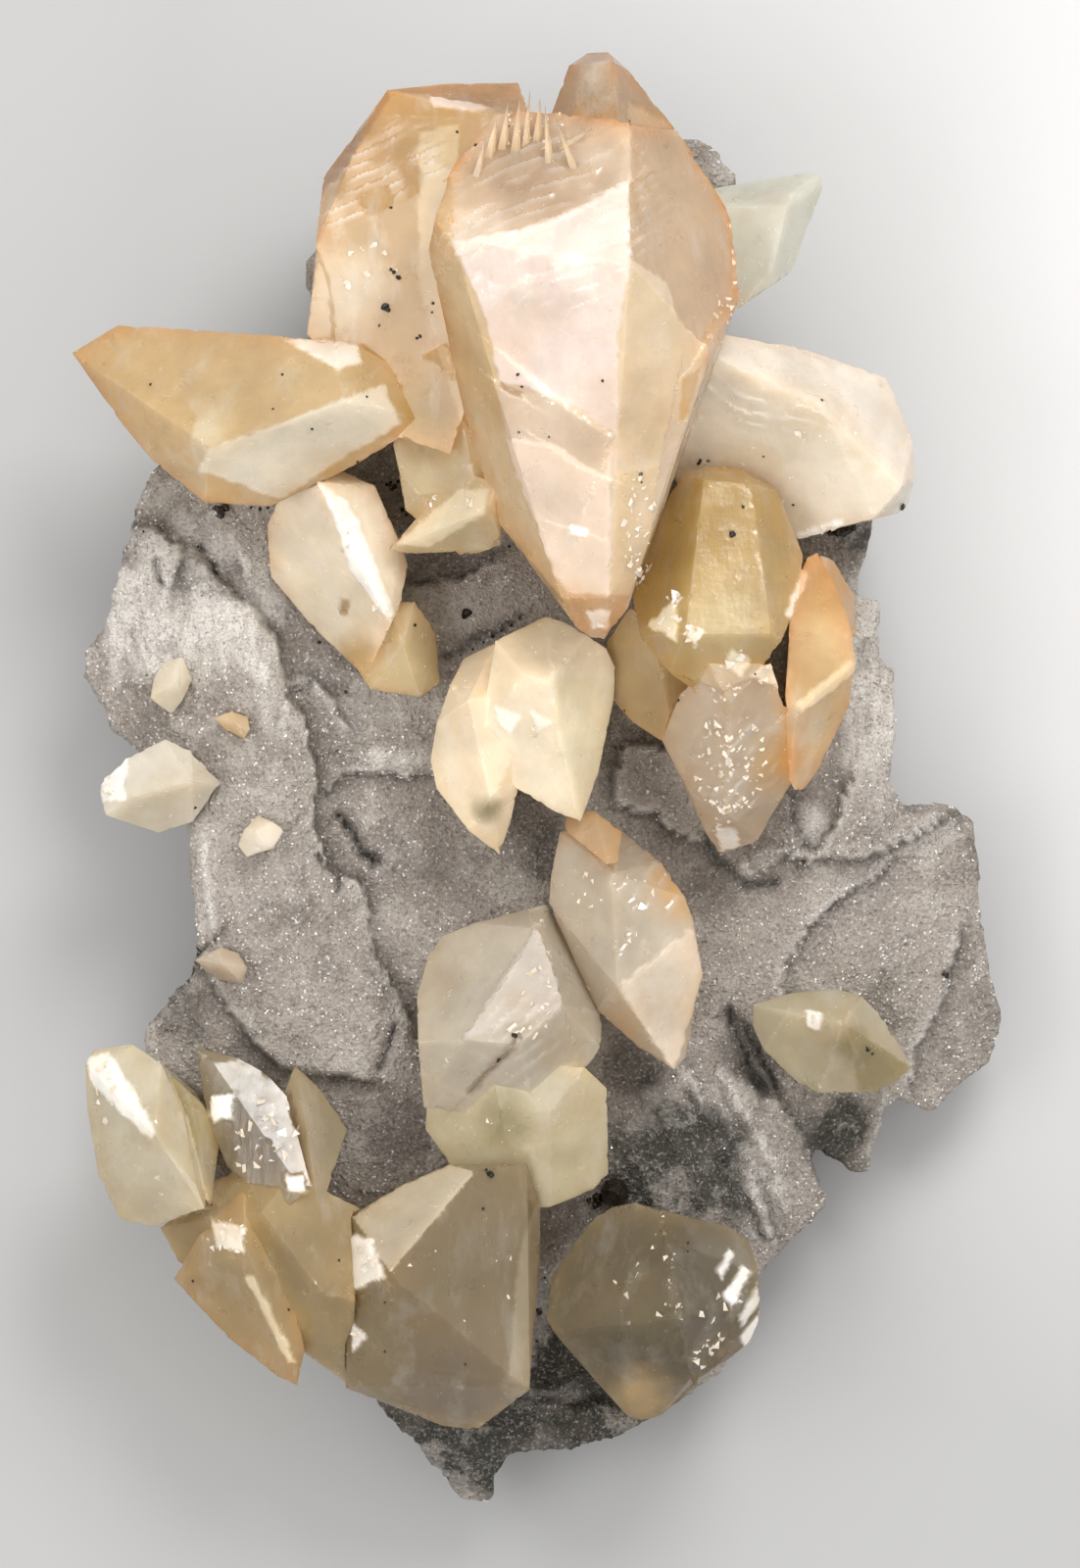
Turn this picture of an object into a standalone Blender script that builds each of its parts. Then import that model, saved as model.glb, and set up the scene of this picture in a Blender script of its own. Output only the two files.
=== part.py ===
"""Calcite cluster: honey and peach scalenohedral calcite crystals on a plate of grey
druse-coated rock. The plate lies on its flat broken back. Metres, +Z up, and the long side
of the plate runs along Y. Corners below are in millimetres, as (x, y, z)."""

import math
import random
from typing import NamedTuple

import bmesh
import bpy
from mathutils import Vector, geometry, noise

MM = 0.001


class Crystal(NamedTuple):
    """A crystal, in millimetres: the outline that it shows from the front, the faces on its
    front, each as three points, the middle of its root, the height where the root ends in the
    rock, and the root's size there as a share of the outline's."""

    outline: tuple
    faces: tuple
    root: tuple
    floor: float
    taper: float = 0.6


# Driving dimensions of the plate, in millimetres: the gap between a crystal and its socket,
# the triangles' size and clearance from the edge, and the pieces of the outline
GAP = 0.35
GRID_FRONT = 5.4
GRID_BACK = 12.0
GRID_JITTER = 0.2
GRID_CLEAR = 0.55
EDGE_STEP = 7.5
EDGE_JITTER = 0.7

# The front: how the relief blends between its places, its lumps, and the ledge
RELIEF_BLUR = 5.5
RELIEF_FALL = 1.6
LUMP_SIZE = 16.7
ROUGHNESS = 1.1
LEDGE_HEIGHT = 3.6
LEDGE_WIDTH = 2.6
LEDGE_FADE = 34.0

# The back: the flat that it rests on, and how it is broken away around it. BACK_START is how
# far past the flat the roughness is whole, as a share of the flat's half size
PLATE_CENTRE = (2.0, -8.0)
FLAT_HALF_WIDTH = 47.0
FLAT_HALF_LENGTH = 84.0
BACK_RISE = 0.17
BACK_WAVE = 25.0
BACK_WOBBLE = 0.22
BACK_LUMP = 11.0
BACK_ROUGHNESS = 2.6
BACK_START = 0.2
BACK_LIMIT = 12.0

# A crystal's faces: how far a corner may be off its face, the angle in radians under which
# two make one, and the smallest, in square millimetres
FACE_FIT = 0.25
SAME_FACE = 0.05
SMALLEST_FACE = 0.15

# Rings of the broken side of the plate: how far in from the outline, and how far down from
# the front edge to the back edge as a share
SIDE_RINGS = ((0.0, 0.0), (1.2, 0.22), (4.2, 0.55), (7.5, 0.86))
SIDE_WAVE = 9.0
SIDE_DEPTH = 0.7
SIDE_DEPTH_RANGE = 0.6
SIDE_UNEVEN = 0.25
EDGE_DROP = 1.0
BACK_INSET = 11.0
BACK_EDGE = 8.0
BACK_LOWEST = 1.5

# The plate's outline seen from the front, from the top bit on the left, clockwise
OUTLINE = (
    (-47.2, 106.2), (-40, 113), (-36, 124), (-24, 131), (-8, 132), (6, 133), (18, 134),
    (27.4, 130.4), (32.6, 129.8), (36.2, 127.8), (36.4, 125.6), (40.2, 122.8), (38.4, 120.8),
    (37, 116), (35, 104), (33, 95), (40, 86), (54, 80), (66, 73), (70, 64), (67.6, 56),
    (66.8, 49.8), (64.8, 43.4), (63.6, 38.6), (69, 36.6), (69, 24.8), (71.8, 23.2),
    (72.2, 14.8), (70.6, 1.2), (74.8, -6.8), (83.2, -3.8), (88.2, -8), (89.2, -24.8),
    (91.6, -40), (94.2, -48), (91, -56.8), (80, -66.6), (73, -64), (70.6, -65),
    (67.8, -73.6), (66.6, -79.6), (54, -72.8), (57.4, -83), (58.2, -85.4), (53.2, -90.6),
    (44.8, -99), (38.8, -115.8), (36.4, -120), (23.6, -128.4), (17, -131.8), (6.8, -135.2),
    (-5.8, -136), (-9.2, -140.2), (-10, -146), (-15.8, -146.2), (-21, -139.4),
    (-30.2, -129.2), (-35.2, -122.4), (-44, -108), (-54, -96), (-66, -84), (-74, -70),
    (-80, -58), (-80.2, -50), (-75.2, -44), (-70.2, -38), (-69.2, -30), (-70.6, -20),
    (-71.2, -9), (-76, 0), (-82.2, 7.6), (-86.8, 11.4), (-89.2, 17.2), (-92.2, 21.6),
    (-92.4, 26), (-88, 32.4), (-84.2, 46.4), (-81.6, 56), (-78.4, 63.8), (-62, 72),
    (-49, 84), (-45.5, 96), (-47.4, 103),
)

# Heights of the plate's front face at places on it
RELIEF = (
    (0, 125, 40), (-30, 112, 38), (34, 116, 42), (10, 95, 42), (-44, 100, 36), (55, 70, 40),
    (62, 52, 40), (-74, 58, 36), (-82, 42, 35), (-62, 48, 41), (-90, 25, 30), (-76, 20, 37),
    (-62, 22, 41), (-56, 8, 42), (-34, 18, 41), (-38, 2, 37), (-20, -5, 35), (-34, -22, 34),
    (-12, -24, 34), (-66, -14, 38), (-58, -30, 40), (-48, -45, 38), (-64, -46, 34),
    (-42, -56, 35), (-34, -72, 31), (-76, -52, 28), (-68, -64, 26), (-60, -80, 24),
    (16, -2, 38), (28, 4, 39), (46, -10, 36), (60, 0, 34), (68, 12, 31), (64, 30, 34),
    (78, -12, 29), (86, -22, 25), (84, -42, 26), (90, -52, 22), (76, -58, 24),
    (60, -30, 33), (45, -40, 33), (40, -62, 32), (64, -72, 22), (52, -84, 25),
    (30, -74, 31), (18, -88, 31), (-6, -96, 28), (0, -122, 25), (-10, -134, 24),
    (-14, -144, 17), (16, -128, 24), (38, -110, 25), (-40, -100, 24), (-28, -124, 24),
)

# The raised edge that winds down the left of the plate; the rock on its left stands higher
LEDGE = (
    (-63.2, 38.8), (-53.6, 30.6), (-51, 19), (-47.2, 10.8), (-45.2, 1.8), (-45.2, -10.2),
    (-41.4, -18.6), (-36, -20), (-34.2, -32.6), (-30.8, -41),
)

# The crystals, from the top of the plate to the bottom, each outline clockwise
MAIN = Crystal(
    outline=(
        (-20.8, 112), (-17.4, 122.2), (-9, 133.4), (-4, 134), (4, 133.4), (27.6, 130.4),
        (38, 114), (39.8, 97), (33.4, 84), (23.6, 55.4), (17.4, 35), (12.8, 29), (7.6, 31),
        (-8, 52), (-14.4, 70.6), (-22.2, 106.6),
    ),
    faces=(
        ((17.8, 103, 121), (13.4, 37.2, 96), (-17.4, 108, 107)),
        ((17.8, 103, 121), (13.4, 37.2, 96), (33.2, 87, 104)),
        ((17.8, 103, 121), (17.8, 131.4, 104), (-17.4, 108, 107)),
        ((17.8, 103, 121), (17.8, 131.4, 104), (33.2, 87, 104)),
        ((-17.4, 108, 107), (4.2, 37.2, 91.9), (-22.2, 106.6, 94)),
        ((4.2, 37.2, 91.9), (13.4, 37.2, 96), (10, 29.4, 84)),
        ((13.4, 37.2, 96), (12.6, 29.6, 86), (17.2, 35.6, 91)),
    ),
    root=(6, 100),
    floor=30.6,
)
MAIN_TOWER = Crystal(
    outline=(
        (2, 133), (5.8, 143.4), (9.4, 146), (13.6, 146.2), (17.4, 142.4), (21, 138.2),
        (27, 131), (20, 124), (4, 126),
    ),
    faces=(
        ((7.8, 143.6, 92), (14.8, 143.8, 93), (6.8, 132, 99)),
        ((7.8, 143.6, 92), (6.8, 132, 99), (2.2, 133, 91)),
        ((14.8, 143.8, 93), (15.4, 132.4, 99.9), (21, 138.2, 87)),
        ((7.8, 143.6, 92), (14.8, 143.8, 93), (11.5, 146.2, 84)),
    ),
    root=(12, 122),
    floor=50,
)
TAN = Crystal(
    outline=(
        (-46.8, 90), (-44.8, 106.6), (-43.4, 122), (-34, 133.8), (-30.6, 139),
        (-18.8, 140.4), (-4.4, 140.6), (-2.4, 135), (-8, 118), (-10, 90), (-18, 66),
        (-30, 70),
    ),
    faces=(
        ((-22.4, 137.8, 80), (-10.4, 135.4, 84), (-44.6, 108.2, 71)),
        ((-22.4, 137.8, 80), (-10.4, 135.4, 84), (-11, 140.6, 70)),
        ((-30.6, 139, 77.2), (-44.6, 108.2, 71), (-43.4, 122, 62)),
        ((-4.4, 140, 70), (-2.4, 135, 80), (-5.4, 132.6, 85)),
    ),
    root=(-22, 102),
    floor=28,
)
HONEY = Crystal(
    outline=(
        (-25.4, 84.4), (-19.6, 88), (-14, 80), (-6, 60), (-8, 48), (-16, 46), (-27, 55),
        (-29.4, 68),
    ),
    faces=(
        ((-18.4, 87, 80), (-13, 60, 76), (-28, 62, 69)),
        ((-18.4, 87, 80), (-13, 60, 76), (-7, 62, 72)),
        ((-13, 60, 76), (-24, 58, 70), (-12, 46.6, 62)),
    ),
    root=(-18, 66),
    floor=26.6,
)
LEFT_ARM = Crystal(
    outline=(
        (-94.2, 86.8), (-85, 92.4), (-52, 89.8), (-36.6, 87.8), (-30.8, 84.4),
        (-23.4, 72.8), (-29.4, 68.6), (-38, 63.4), (-54, 55.8), (-67.2, 56.4),
        (-77.8, 65), (-84, 72.4),
    ),
    faces=(
        ((-39, 77, 86), (-66.2, 67.5, 80), (-73.4, 87.8, 62)),
        ((-39, 77, 86), (-66.2, 67.5, 80), (-54, 55.8, 64)),
        ((-66.2, 67.5, 80), (-94.2, 86.8, 53), (-77.8, 65.2, 63)),
        ((-39, 77, 86), (-23.4, 72.8, 75), (-30.8, 84.4, 75)),
        ((-52, 89.7, 70.7), (-40.4, 83.2, 80.9), (-36.6, 87.8, 75.5)),
    ),
    root=(-44, 74),
    taper=0.3,
    floor=34,
)
WEDGE = Crystal(
    outline=(
        (-30.2, 47), (-23.8, 54.4), (-16.2, 63), (-8.6, 60), (-8, 50), (-10.2, 47),
        (-26, 46.2),
    ),
    faces=(
        ((-30.2, 47, 64), (-10.2, 55, 80), (-16.2, 63, 73)),
        ((-30.2, 47, 64), (-10.2, 55, 80), (-12, 47, 68)),
    ),
    root=(-14, 56),
    floor=32,
)
LEANING = Crystal(
    outline=(
        (-51.2, 60.4), (-44.2, 64.2), (-33.2, 60), (-28.2, 48.6), (-26.6, 44), (-28, 36),
        (-30, 32), (-35.2, 21.6), (-46.2, 32), (-54.4, 42), (-55, 52),
    ),
    faces=(
        ((-44.4, 60.6, 69), (-30.6, 33.2, 60), (-54.4, 46, 54)),
        ((-44.4, 60.6, 69), (-30.6, 33.2, 60), (-39, 56.3, 71.5)),
        ((-39, 56.3, 71.5), (-29.9, 34, 60.3), (-28.2, 48.6, 58)),
        ((-44.4, 60.6, 69), (-39, 57.4, 71), (-40, 63, 60)),
    ),
    root=(-41, 47),
    floor=27.4,
)
LEANING_FOOT = Crystal(
    outline=(
        (-38, 36), (-25.2, 36.8), (-22, 32), (-20.2, 20.4), (-24.2, 17.6), (-34.2, 19),
        (-38, 25),
    ),
    faces=(
        ((-27.5, 28, 55), (-30, 34.6, 52), (-35.4, 21, 46)),
        ((-27.5, 28, 55), (-24, 18, 48), (-21, 30, 47)),
        ((-27.5, 28, 55), (-24.2, 17.8, 47), (-34.2, 19.2, 46.5)),
    ),
    root=(-29, 28),
    floor=30,
)
GREY_ARM = Crystal(
    outline=(
        (30, 90), (37, 90), (53.4, 87), (69.6, 81.4), (70.8, 79), (74.8, 69), (75.4, 62),
        (74.6, 57), (72.4, 54.6), (67.2, 53.6), (51.8, 49.4), (40, 48), (28, 56), (26, 70),
    ),
    faces=(
        ((33.6, 85.8, 84), (56.2, 75.6, 82), (53.4, 87, 67)),
        ((33.6, 85.8, 84), (56.2, 75.6, 82), (51.8, 49.6, 62)),
        ((56.2, 75.6, 82), (72.4, 59.4, 74), (70.8, 79, 62)),
        ((72.4, 59.4, 72), (75.4, 62, 62), (70, 54, 62)),
    ),
    root=(46, 68),
    taper=0.5,
    floor=31,
)
PALE_SPUR = Crystal(
    outline=(
        (30, 119), (46, 121.2), (53.4, 122.9), (56.6, 122.2), (57, 120.4), (50.4, 102.8),
        (46.6, 100.2), (39.6, 95.2), (30, 100),
    ),
    faces=(
        ((49.4, 116, 70), (46.6, 103, 70), (34, 112, 66)),
        ((49.4, 116, 70), (34, 115.4, 66), (46, 121.2, 58)),
        ((49.4, 116, 70), (46.6, 103, 70), (54, 112, 59)),
    ),
    root=(31, 108),
    taper=0.25,
    floor=33,
)
GOLDEN = Crystal(
    outline=(
        (18.6, 37), (22.4, 51.6), (28.4, 62), (33.4, 63.6), (40.6, 63.2), (47.6, 58.8),
        (52.6, 46), (51.4, 37.2), (48.2, 28.6), (42, 19.4), (31.2, 18.4), (26.2, 22),
        (20.2, 29.4),
    ),
    faces=(
        ((32.8, 60.8, 80), (42.2, 59.8, 80), (31, 30, 86)),
        ((32.8, 60.8, 80), (29, 30, 86), (18.6, 38, 71)),
        ((42.2, 59.8, 80), (46, 31, 85.6), (52.6, 45, 72)),
        ((32.8, 60.8, 80), (42.2, 59.8, 80), (37, 63.6, 72)),
        ((29, 30, 86), (46, 30, 85.6), (36, 18.8, 73)),
    ),
    root=(37, 42),
    floor=29,
)
BROWN = Crystal(
    outline=(
        (13.6, 28.6), (18, 35.4), (26, 34), (30, 20), (24.4, 8.6), (18.6, 12.4),
        (14.6, 17),
    ),
    faces=(
        ((22, 33, 66), (26, 14, 62), (13.6, 24, 57)),
        ((22, 33, 66), (26, 14, 62), (30, 24, 62)),
    ),
    root=(24, 22),
    floor=27,
)
CLEAR_TIP = Crystal(
    outline=(
        (24.4, 8.8), (28, 18), (34, 24), (46, 24), (50.4, 12), (50.6, 0.4), (48.2, -3.2),
        (43.8, -11.6), (36.2, -14.2), (33.4, -9.8), (30, -1.6),
    ),
    faces=(
        ((38, 16, 78), (37.6, -6, 63), (25, 8.8, 60)),
        ((38, 16, 78), (37.6, -6, 63), (50.4, 2, 62)),
        ((37.6, -6, 63), (33.8, -9.4, 54), (43.8, -11, 53)),
    ),
    root=(38, 8),
    floor=26.2,
)
ORANGE = Crystal(
    outline=(
        (49, 18), (50.4, 37.2), (53.6, 45.4), (55.6, 46.4), (59.4, 39.4), (61.6, 34),
        (63.4, 26.4), (62, 15.8), (58.6, 8.8), (55.4, 2), (51.4, -1.4), (50, 0.6),
    ),
    faces=(
        ((51.4, 15.4, 75), (62.4, 24.6, 68), (55.4, 45.8, 68)),
        ((51.4, 15.4, 75), (62.4, 24.6, 68), (53, -1, 59)),
    ),
    root=(53, 22),
    floor=25.4,
)
ORANGE_BACK = Crystal(
    outline=((54, 40), (56.4, 46), (59, 45), (63.2, 38), (64, 29.6), (57, 28)),
    faces=(
        ((58, 40, 60), (60, 32, 58), (63.6, 34, 53)),
        ((58, 40, 60), (60, 32, 58), (52, 36, 58)),
    ),
    root=(57, 36),
    floor=31,
)
TWIN_RIGHT = Crystal(
    outline=(
        (-9, 28.8), (1, 33.6), (4.8, 32.4), (9.6, 29.6), (13.2, 27.2), (15, 23.4),
        (14.8, 18), (13.6, 11.6), (11.6, 2.2), (8, -7.4), (3.8, -6.2), (-5.2, -0.6),
        (-12, 10),
    ),
    faces=(
        ((1.6, 20.8, 72), (7, -4.8, 60), (14.8, 18, 58)),
        ((1.6, 20.8, 72), (7, -4.8, 60), (-10, 6, 60)),
        ((1.6, 20.8, 72), (-3.4, 22.2, 70.8), (4.8, 29.8, 65)),
    ),
    root=(2, 13),
    floor=24,
)
TWIN_LEFT = Crystal(
    outline=(
        (-22, 4.4), (-20.8, 12.2), (-18, 19.8), (-15.4, 25.2), (-9, 28.4), (-2, 18),
        (-4.6, -2), (-5.8, -7), (-8.2, -14.2), (-14.4, -9.4), (-20.8, -1),
    ),
    faces=(
        ((-14.4, 17, 64), (-10, -3, 60), (-22, 5, 53)),
        ((-14.4, 17, 64), (-10, -3, 60), (-3, 10, 62)),
        ((-14.4, 17, 64), (-9, 28.4, 54), (-18, 20, 55)),
        ((-10, -3, 60), (-5.4, -5, 54), (-8.2, -14, 48)),
    ),
    root=(-12, 8),
    floor=22.5,
)
LOWER_KITE = Crystal(
    outline=(
        (1.8, -24.2), (2.2, -18.2), (4, -9.6), (10.8, -8.6), (16.6, -9.6), (24.4, -16),
        (29.2, -22.8), (31, -28), (32.6, -38.2), (31, -46.4), (29.4, -55), (27, -57.6),
        (20, -53.2), (11.6, -45.6),
    ),
    faces=(
        ((14.4, -18, 61), (15.6, -40.8, 64), (2, -21, 51)),
        ((14.4, -18, 61), (15.6, -40.8, 64), (30.8, -28.6, 56)),
        ((15.6, -40.8, 64), (30.8, -28.6, 56), (27, -57.4, 47)),
        ((15.6, -40.8, 64), (27, -57.4, 47), (11.8, -45.4, 55)),
        ((14.4, -18, 61), (4, -9.6, 50), (24.4, -16, 53)),
    ),
    root=(17, -33),
    floor=19,
)
KITE_CAP = Crystal(
    outline=(
        (5.2, -6.8), (10, -5.4), (11.4, -6), (16.4, -9.4), (15.6, -15.8), (13.4, -16.2),
        (4.8, -9.2),
    ),
    faces=(
        ((5.2, -8, 53), (14, -16, 63.5), (11, -5.6, 56)),
        ((14, -16, 63.5), (11, -5.6, 56), (16.4, -10, 58)),
    ),
    root=(11, -11),
    floor=36,
)
SILVER = Crystal(
    outline=(
        (-24.8, -43), (-22.6, -34.8), (-19.6, -30.6), (-13, -28), (1.2, -24.2), (6, -36.2),
        (10.8, -42), (12.4, -46), (12.2, -53), (7.8, -59.6), (-2.2, -64.4), (-9.6, -67),
        (-23.4, -65), (-24.6, -52),
    ),
    faces=(
        ((-0.8, -29.2, 58), (-15.6, -51.2, 66), (4.4, -44.2, 67)),
        ((-0.8, -29.2, 58), (-15.6, -51.2, 66), (-24.8, -43, 51)),
        ((-0.8, -29.2, 58), (4.4, -44.2, 67), (12.4, -46, 53)),
        ((4.4, -44.2, 67), (-4, -52, 67.4), (7.8, -59.6, 54)),
        ((-15.6, -51.2, 66), (-4, -52, 67.4), (-12, -67, 53)),
    ),
    root=(-7, -48),
    floor=20,
)
SILVER_FOOT = Crystal(
    outline=(
        (-22.4, -62), (-23, -69.8), (-18.2, -76.8), (-3.4, -86), (2.2, -85.2),
        (10.8, -81.8), (13.8, -78.6), (13.2, -61), (9, -57), (-10, -56),
    ),
    faces=(
        ((-8, -66, 57), (2, -66, 58), (-3, -86, 46)),
        ((2, -66, 58), (4, -80, 50.4), (13.6, -68, 50)),
        ((-8, -66, 57), (-12, -78, 49), (-23, -68, 48)),
    ),
    root=(-3, -70),
    floor=18,
)
BOTTOM_BLOCK = Crystal(
    outline=(
        (-38.2, -87), (-28.4, -81), (-18.6, -76.6), (-2.6, -76.4), (0, -85), (-0.2, -96),
        (-1.2, -109.6), (-2.2, -122), (-12.6, -130.4), (-19.6, -129.6), (-39.2, -121.8),
        (-38.6, -102),
    ),
    faces=(
        ((-13.4, -78, 60), (-30.4, -98, 67), (-38.2, -87, 52)),
        ((-13.4, -78, 60), (-30.4, -98, 67), (-4, -119.4, 58)),
        ((-30.4, -98, 67), (-38.4, -102, 56), (-36.4, -121, 50)),
        ((-36, -120.4, 51), (-2.2, -119.4, 57), (-14, -130.4, 40)),
        ((-5, -78, 60), (-4, -119, 58), (0, -96, 48)),
    ),
    root=(-20, -102),
    taper=0.5,
    floor=12,
)
OLIVE = Crystal(
    outline=(
        (1.2, -107.4), (2.4, -99.2), (6.8, -92.8), (11.4, -87), (14.6, -85.2),
        (19.2, -84.2), (27.4, -87), (38.2, -89.4), (42, -92), (43.9, -97), (43.8, -107),
        (41.4, -112.8), (30.4, -120.2), (24.2, -127.6), (20.6, -128.4), (17.6, -127.6),
        (2.4, -110.2),
    ),
    faces=(
        ((24.2, -86, 54), (26.4, -107.4, 66), (3, -104, 50)),
        ((24.2, -86, 54), (26.4, -107.4, 66), (43.8, -102, 53)),
        ((26.4, -107.4, 66), (30.4, -119.8, 52), (42, -111, 50)),
        ((24, -114, 60), (30, -119.6, 52), (20.6, -128, 43)),
    ),
    root=(22, -104),
    taper=0.5,
    floor=11,
)
FOOT_SLAB = Crystal(
    outline=(
        (-76.8, -89.4), (-66, -80.6), (-60.4, -77), (-50, -78.4), (-36.4, -85.4),
        (-37.2, -104), (-38.2, -121.6), (-47.6, -114.4), (-56.2, -103), (-73, -96.4),
    ),
    faces=(
        ((-56, -86, 60), (-44, -102, 61), (-37, -86, 52)),
        ((-56, -86, 60), (-44, -102, 61), (-60, -99, 50)),
        ((-56, -86, 60), (-60.4, -77.4, 50), (-76.8, -89.4, 45)),
        ((-44, -102, 61), (-47.4, -114, 47), (-38.2, -121.2, 43)),
    ),
    root=(-44, -88),
    taper=0.3,
    floor=14,
)
FOOT_BLADE = Crystal(
    outline=(
        (-91.8, -56.4), (-89.8, -53.6), (-82.2, -52.4), (-76.4, -56), (-72.2, -67.2),
        (-67.6, -85.6), (-77.2, -89.2), (-84.8, -87.6), (-89, -79), (-91.2, -66.2),
    ),
    faces=(
        ((-91, -57, 49), (-77.2, -70.6, 66), (-89, -79, 47)),
        ((-91, -57, 49), (-85.6, -54.6, 53), (-77.2, -70.6, 66)),
        ((-85.6, -54.6, 53), (-77.2, -70.6, 66), (-76.4, -56.2, 57)),
        ((-77.2, -70.6, 66), (-69, -83, 60), (-82, -88.4, 48)),
        ((-76.4, -57, 57.4), (-69, -81, 61), (-71.6, -67, 56)),
    ),
    root=(-64, -68),
    taper=0.2,
    floor=15,
)
FOOT_SLIVER = Crystal(
    outline=((-74, -58.6), (-67.8, -64.6), (-64.6, -72.2), (-66.4, -84.4), (-71, -80)),
    faces=(
        ((-71, -62, 53), (-67, -80, 53), (-64.6, -72, 48)),
        ((-71, -62, 53), (-67, -80, 53), (-74, -66, 51)),
    ),
    root=(-65, -68),
    taper=0.3,
    floor=16.5,
)
FOOT_WINDOW = Crystal(
    outline=(
        (-69.4, -53.2), (-61, -55.2), (-55.2, -58.4), (-51, -63), (-46, -81), (-52, -86),
        (-63, -77), (-67, -67.2),
    ),
    faces=(
        ((-66, -56, 50), (-49, -80, 58), (-51, -63, 51)),
        ((-66, -56, 50), (-49, -80, 58), (-64, -72, 51)),
    ),
    root=(-56, -68),
    taper=0.4,
    floor=13,
)
FOOT_FIN = Crystal(
    outline=(
        (-51.4, -62), (-49.4, -56.6), (-44.4, -61.6), (-39, -69.6), (-40.4, -74),
        (-44, -85.4), (-48, -80),
    ),
    faces=(
        ((-48.8, -59, 50), (-45.5, -80, 54), (-39, -70, 47)),
        ((-48.8, -59, 50), (-45.5, -80, 54), (-51.4, -65, 48)),
    ),
    root=(-46, -70),
    taper=0.4,
    floor=12,
)
FOOT_POINT = Crystal(
    outline=(
        (-73.8, -99.8), (-69, -91), (-59.8, -82), (-51, -100), (-47.4, -114),
        (-49, -121.2), (-53, -119.4), (-63, -111.6),
    ),
    faces=(
        ((-59, -94, 61), (-50.4, -114, 53), (-69, -104, 47)),
        ((-59, -94, 61), (-50.4, -114, 53), (-51, -104, 54)),
        ((-59, -94, 61), (-69, -91, 51), (-60, -84, 56)),
    ),
    root=(-51, -88),
    taper=0.2,
    floor=15.6,
)
EDGE_EGG = Crystal(
    outline=(
        (-88.8, -0.2), (-83.6, 5.2), (-75.6, 9), (-70.4, 6.6), (-64.4, 0.2), (-70.2, -7.6),
        (-77, -9.8), (-87.4, -6.4), (-88.8, -3.6),
    ),
    faces=(
        ((-83.4, 4.6, 46), (-83.2, -3, 52), (-88.8, -1, 43)),
        ((-83.2, -3, 52), (-70, 0.6, 52), (-76, 8.6, 45)),
        ((-83.2, -3, 52), (-70, 0.6, 52), (-77, -9.4, 43)),
        ((-70, 0.6, 52), (-64.6, 0, 44), (-70, -7, 45)),
        ((-70, 0.6, 52), (-64.6, 0, 44), (-70.4, 6.4, 46)),
    ),
    root=(-70, 0),
    taper=0.3,
    floor=24,
)
SMALL_BIPYRAMID = Crystal(
    outline=(
        (-77.8, 21.6), (-75.8, 24.4), (-72, 25.6), (-70.2, 21), (-74.4, 14.2),
        (-78.6, 17.2),
    ),
    faces=(
        ((-76, 18.6, 50), (-73, 20.8, 50.5), (-76, 24.6, 45)),
        ((-76, 18.6, 50), (-73, 20.8, 50.5), (-74.2, 14.4, 45)),
        ((-73, 20.8, 50.5), (-70.2, 21, 45), (-72, 17, 46)),
    ),
    root=(-74.4, 19.6),
    floor=32,
)
TINY_BLOCK = Crystal(
    outline=((-57, -6.2), (-51.8, -9.6), (-53.6, -13), (-59.2, -14.8), (-61, -12.4)),
    faces=(
        ((-57.4, -9.6, 49), (-55, -12.6, 47.6), (-52, -9, 46)),
        ((-57.4, -9.6, 49), (-56.6, -13.6, 46.6), (-61, -12, 45)),
        ((-57.4, -9.6, 49), (-54, -7.6, 47), (-59.4, -8.8, 47)),
    ),
    root=(-56.6, -11),
    floor=34,
)
AMBER_STUB = Crystal(
    outline=(
        (-65.6, 13.4), (-62.4, 14.6), (-59, 13.6), (-58.4, 11.2), (-59.6, 9), (-63.8, 11.2),
    ),
    faces=(
        ((-61.6, 12.4, 48), (-58.6, 12, 46.6), (-62, 14.6, 46.4)),
        ((-61.6, 12.4, 48), (-59.6, 9.4, 46), (-64.6, 12.4, 46)),
    ),
    root=(-61, 12),
    floor=38,
)
EDGE_STUB = Crystal(
    outline=(
        (-69.8, -35.6), (-64.6, -33), (-60.8, -34.2), (-59, -37), (-60.2, -40.2),
        (-64.8, -39.6),
    ),
    faces=(
        ((-64, -36.4, 46.5), (-60, -37, 44.8), (-65, -33.4, 43.6)),
        ((-64, -36.4, 46.5), (-60.6, -39.6, 43.4), (-69, -36.4, 41)),
    ),
    root=(-63.6, -37),
    taper=0.4,
    floor=32,
)
RIGHT_PEBBLE = Crystal(
    outline=(
        (43.2, -44.4), (50.6, -42.2), (60.2, -41.4), (65, -43), (71.2, -50.4), (75, -57.2),
        (70.8, -60.8), (67, -62.2), (56.2, -62.4), (52.2, -60.4), (45.2, -53.6),
        (43, -48.8),
    ),
    faces=(
        ((61, -48, 56), (50, -46, 50), (60, -41.8, 47)),
        ((61, -48, 56), (50, -46, 50), (56, -62, 43)),
        ((61, -48, 56), (74.8, -57, 43), (68, -46, 47)),
        ((61, -48, 56), (74.8, -57, 43), (68.4, -61.8, 42)),
        ((50, -46, 50), (43.2, -46, 41), (45.2, -53.4, 42)),
    ),
    root=(59, -53),
    floor=18,
)
SPHALERITE = Crystal(
    outline=(
        (12.2, -82.2), (13.4, -80.2), (16, -80), (17.8, -81.6), (17.6, -84), (15.6, -85.6),
        (13, -85),
    ),
    faces=(
        ((14, -82, 37.6), (16, -83, 37.8), (15.4, -80.2, 35.4)),
        ((14, -82, 37.6), (16, -83, 37.8), (14, -85, 35.2)),
        ((16, -83, 37.8), (17.6, -82, 35), (17, -84.6, 35)),
        ((14, -82, 37.6), (12.4, -82.4, 35), (13.4, -80.6, 35)),
    ),
    root=(15, -82.8),
    floor=24,
)

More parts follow.
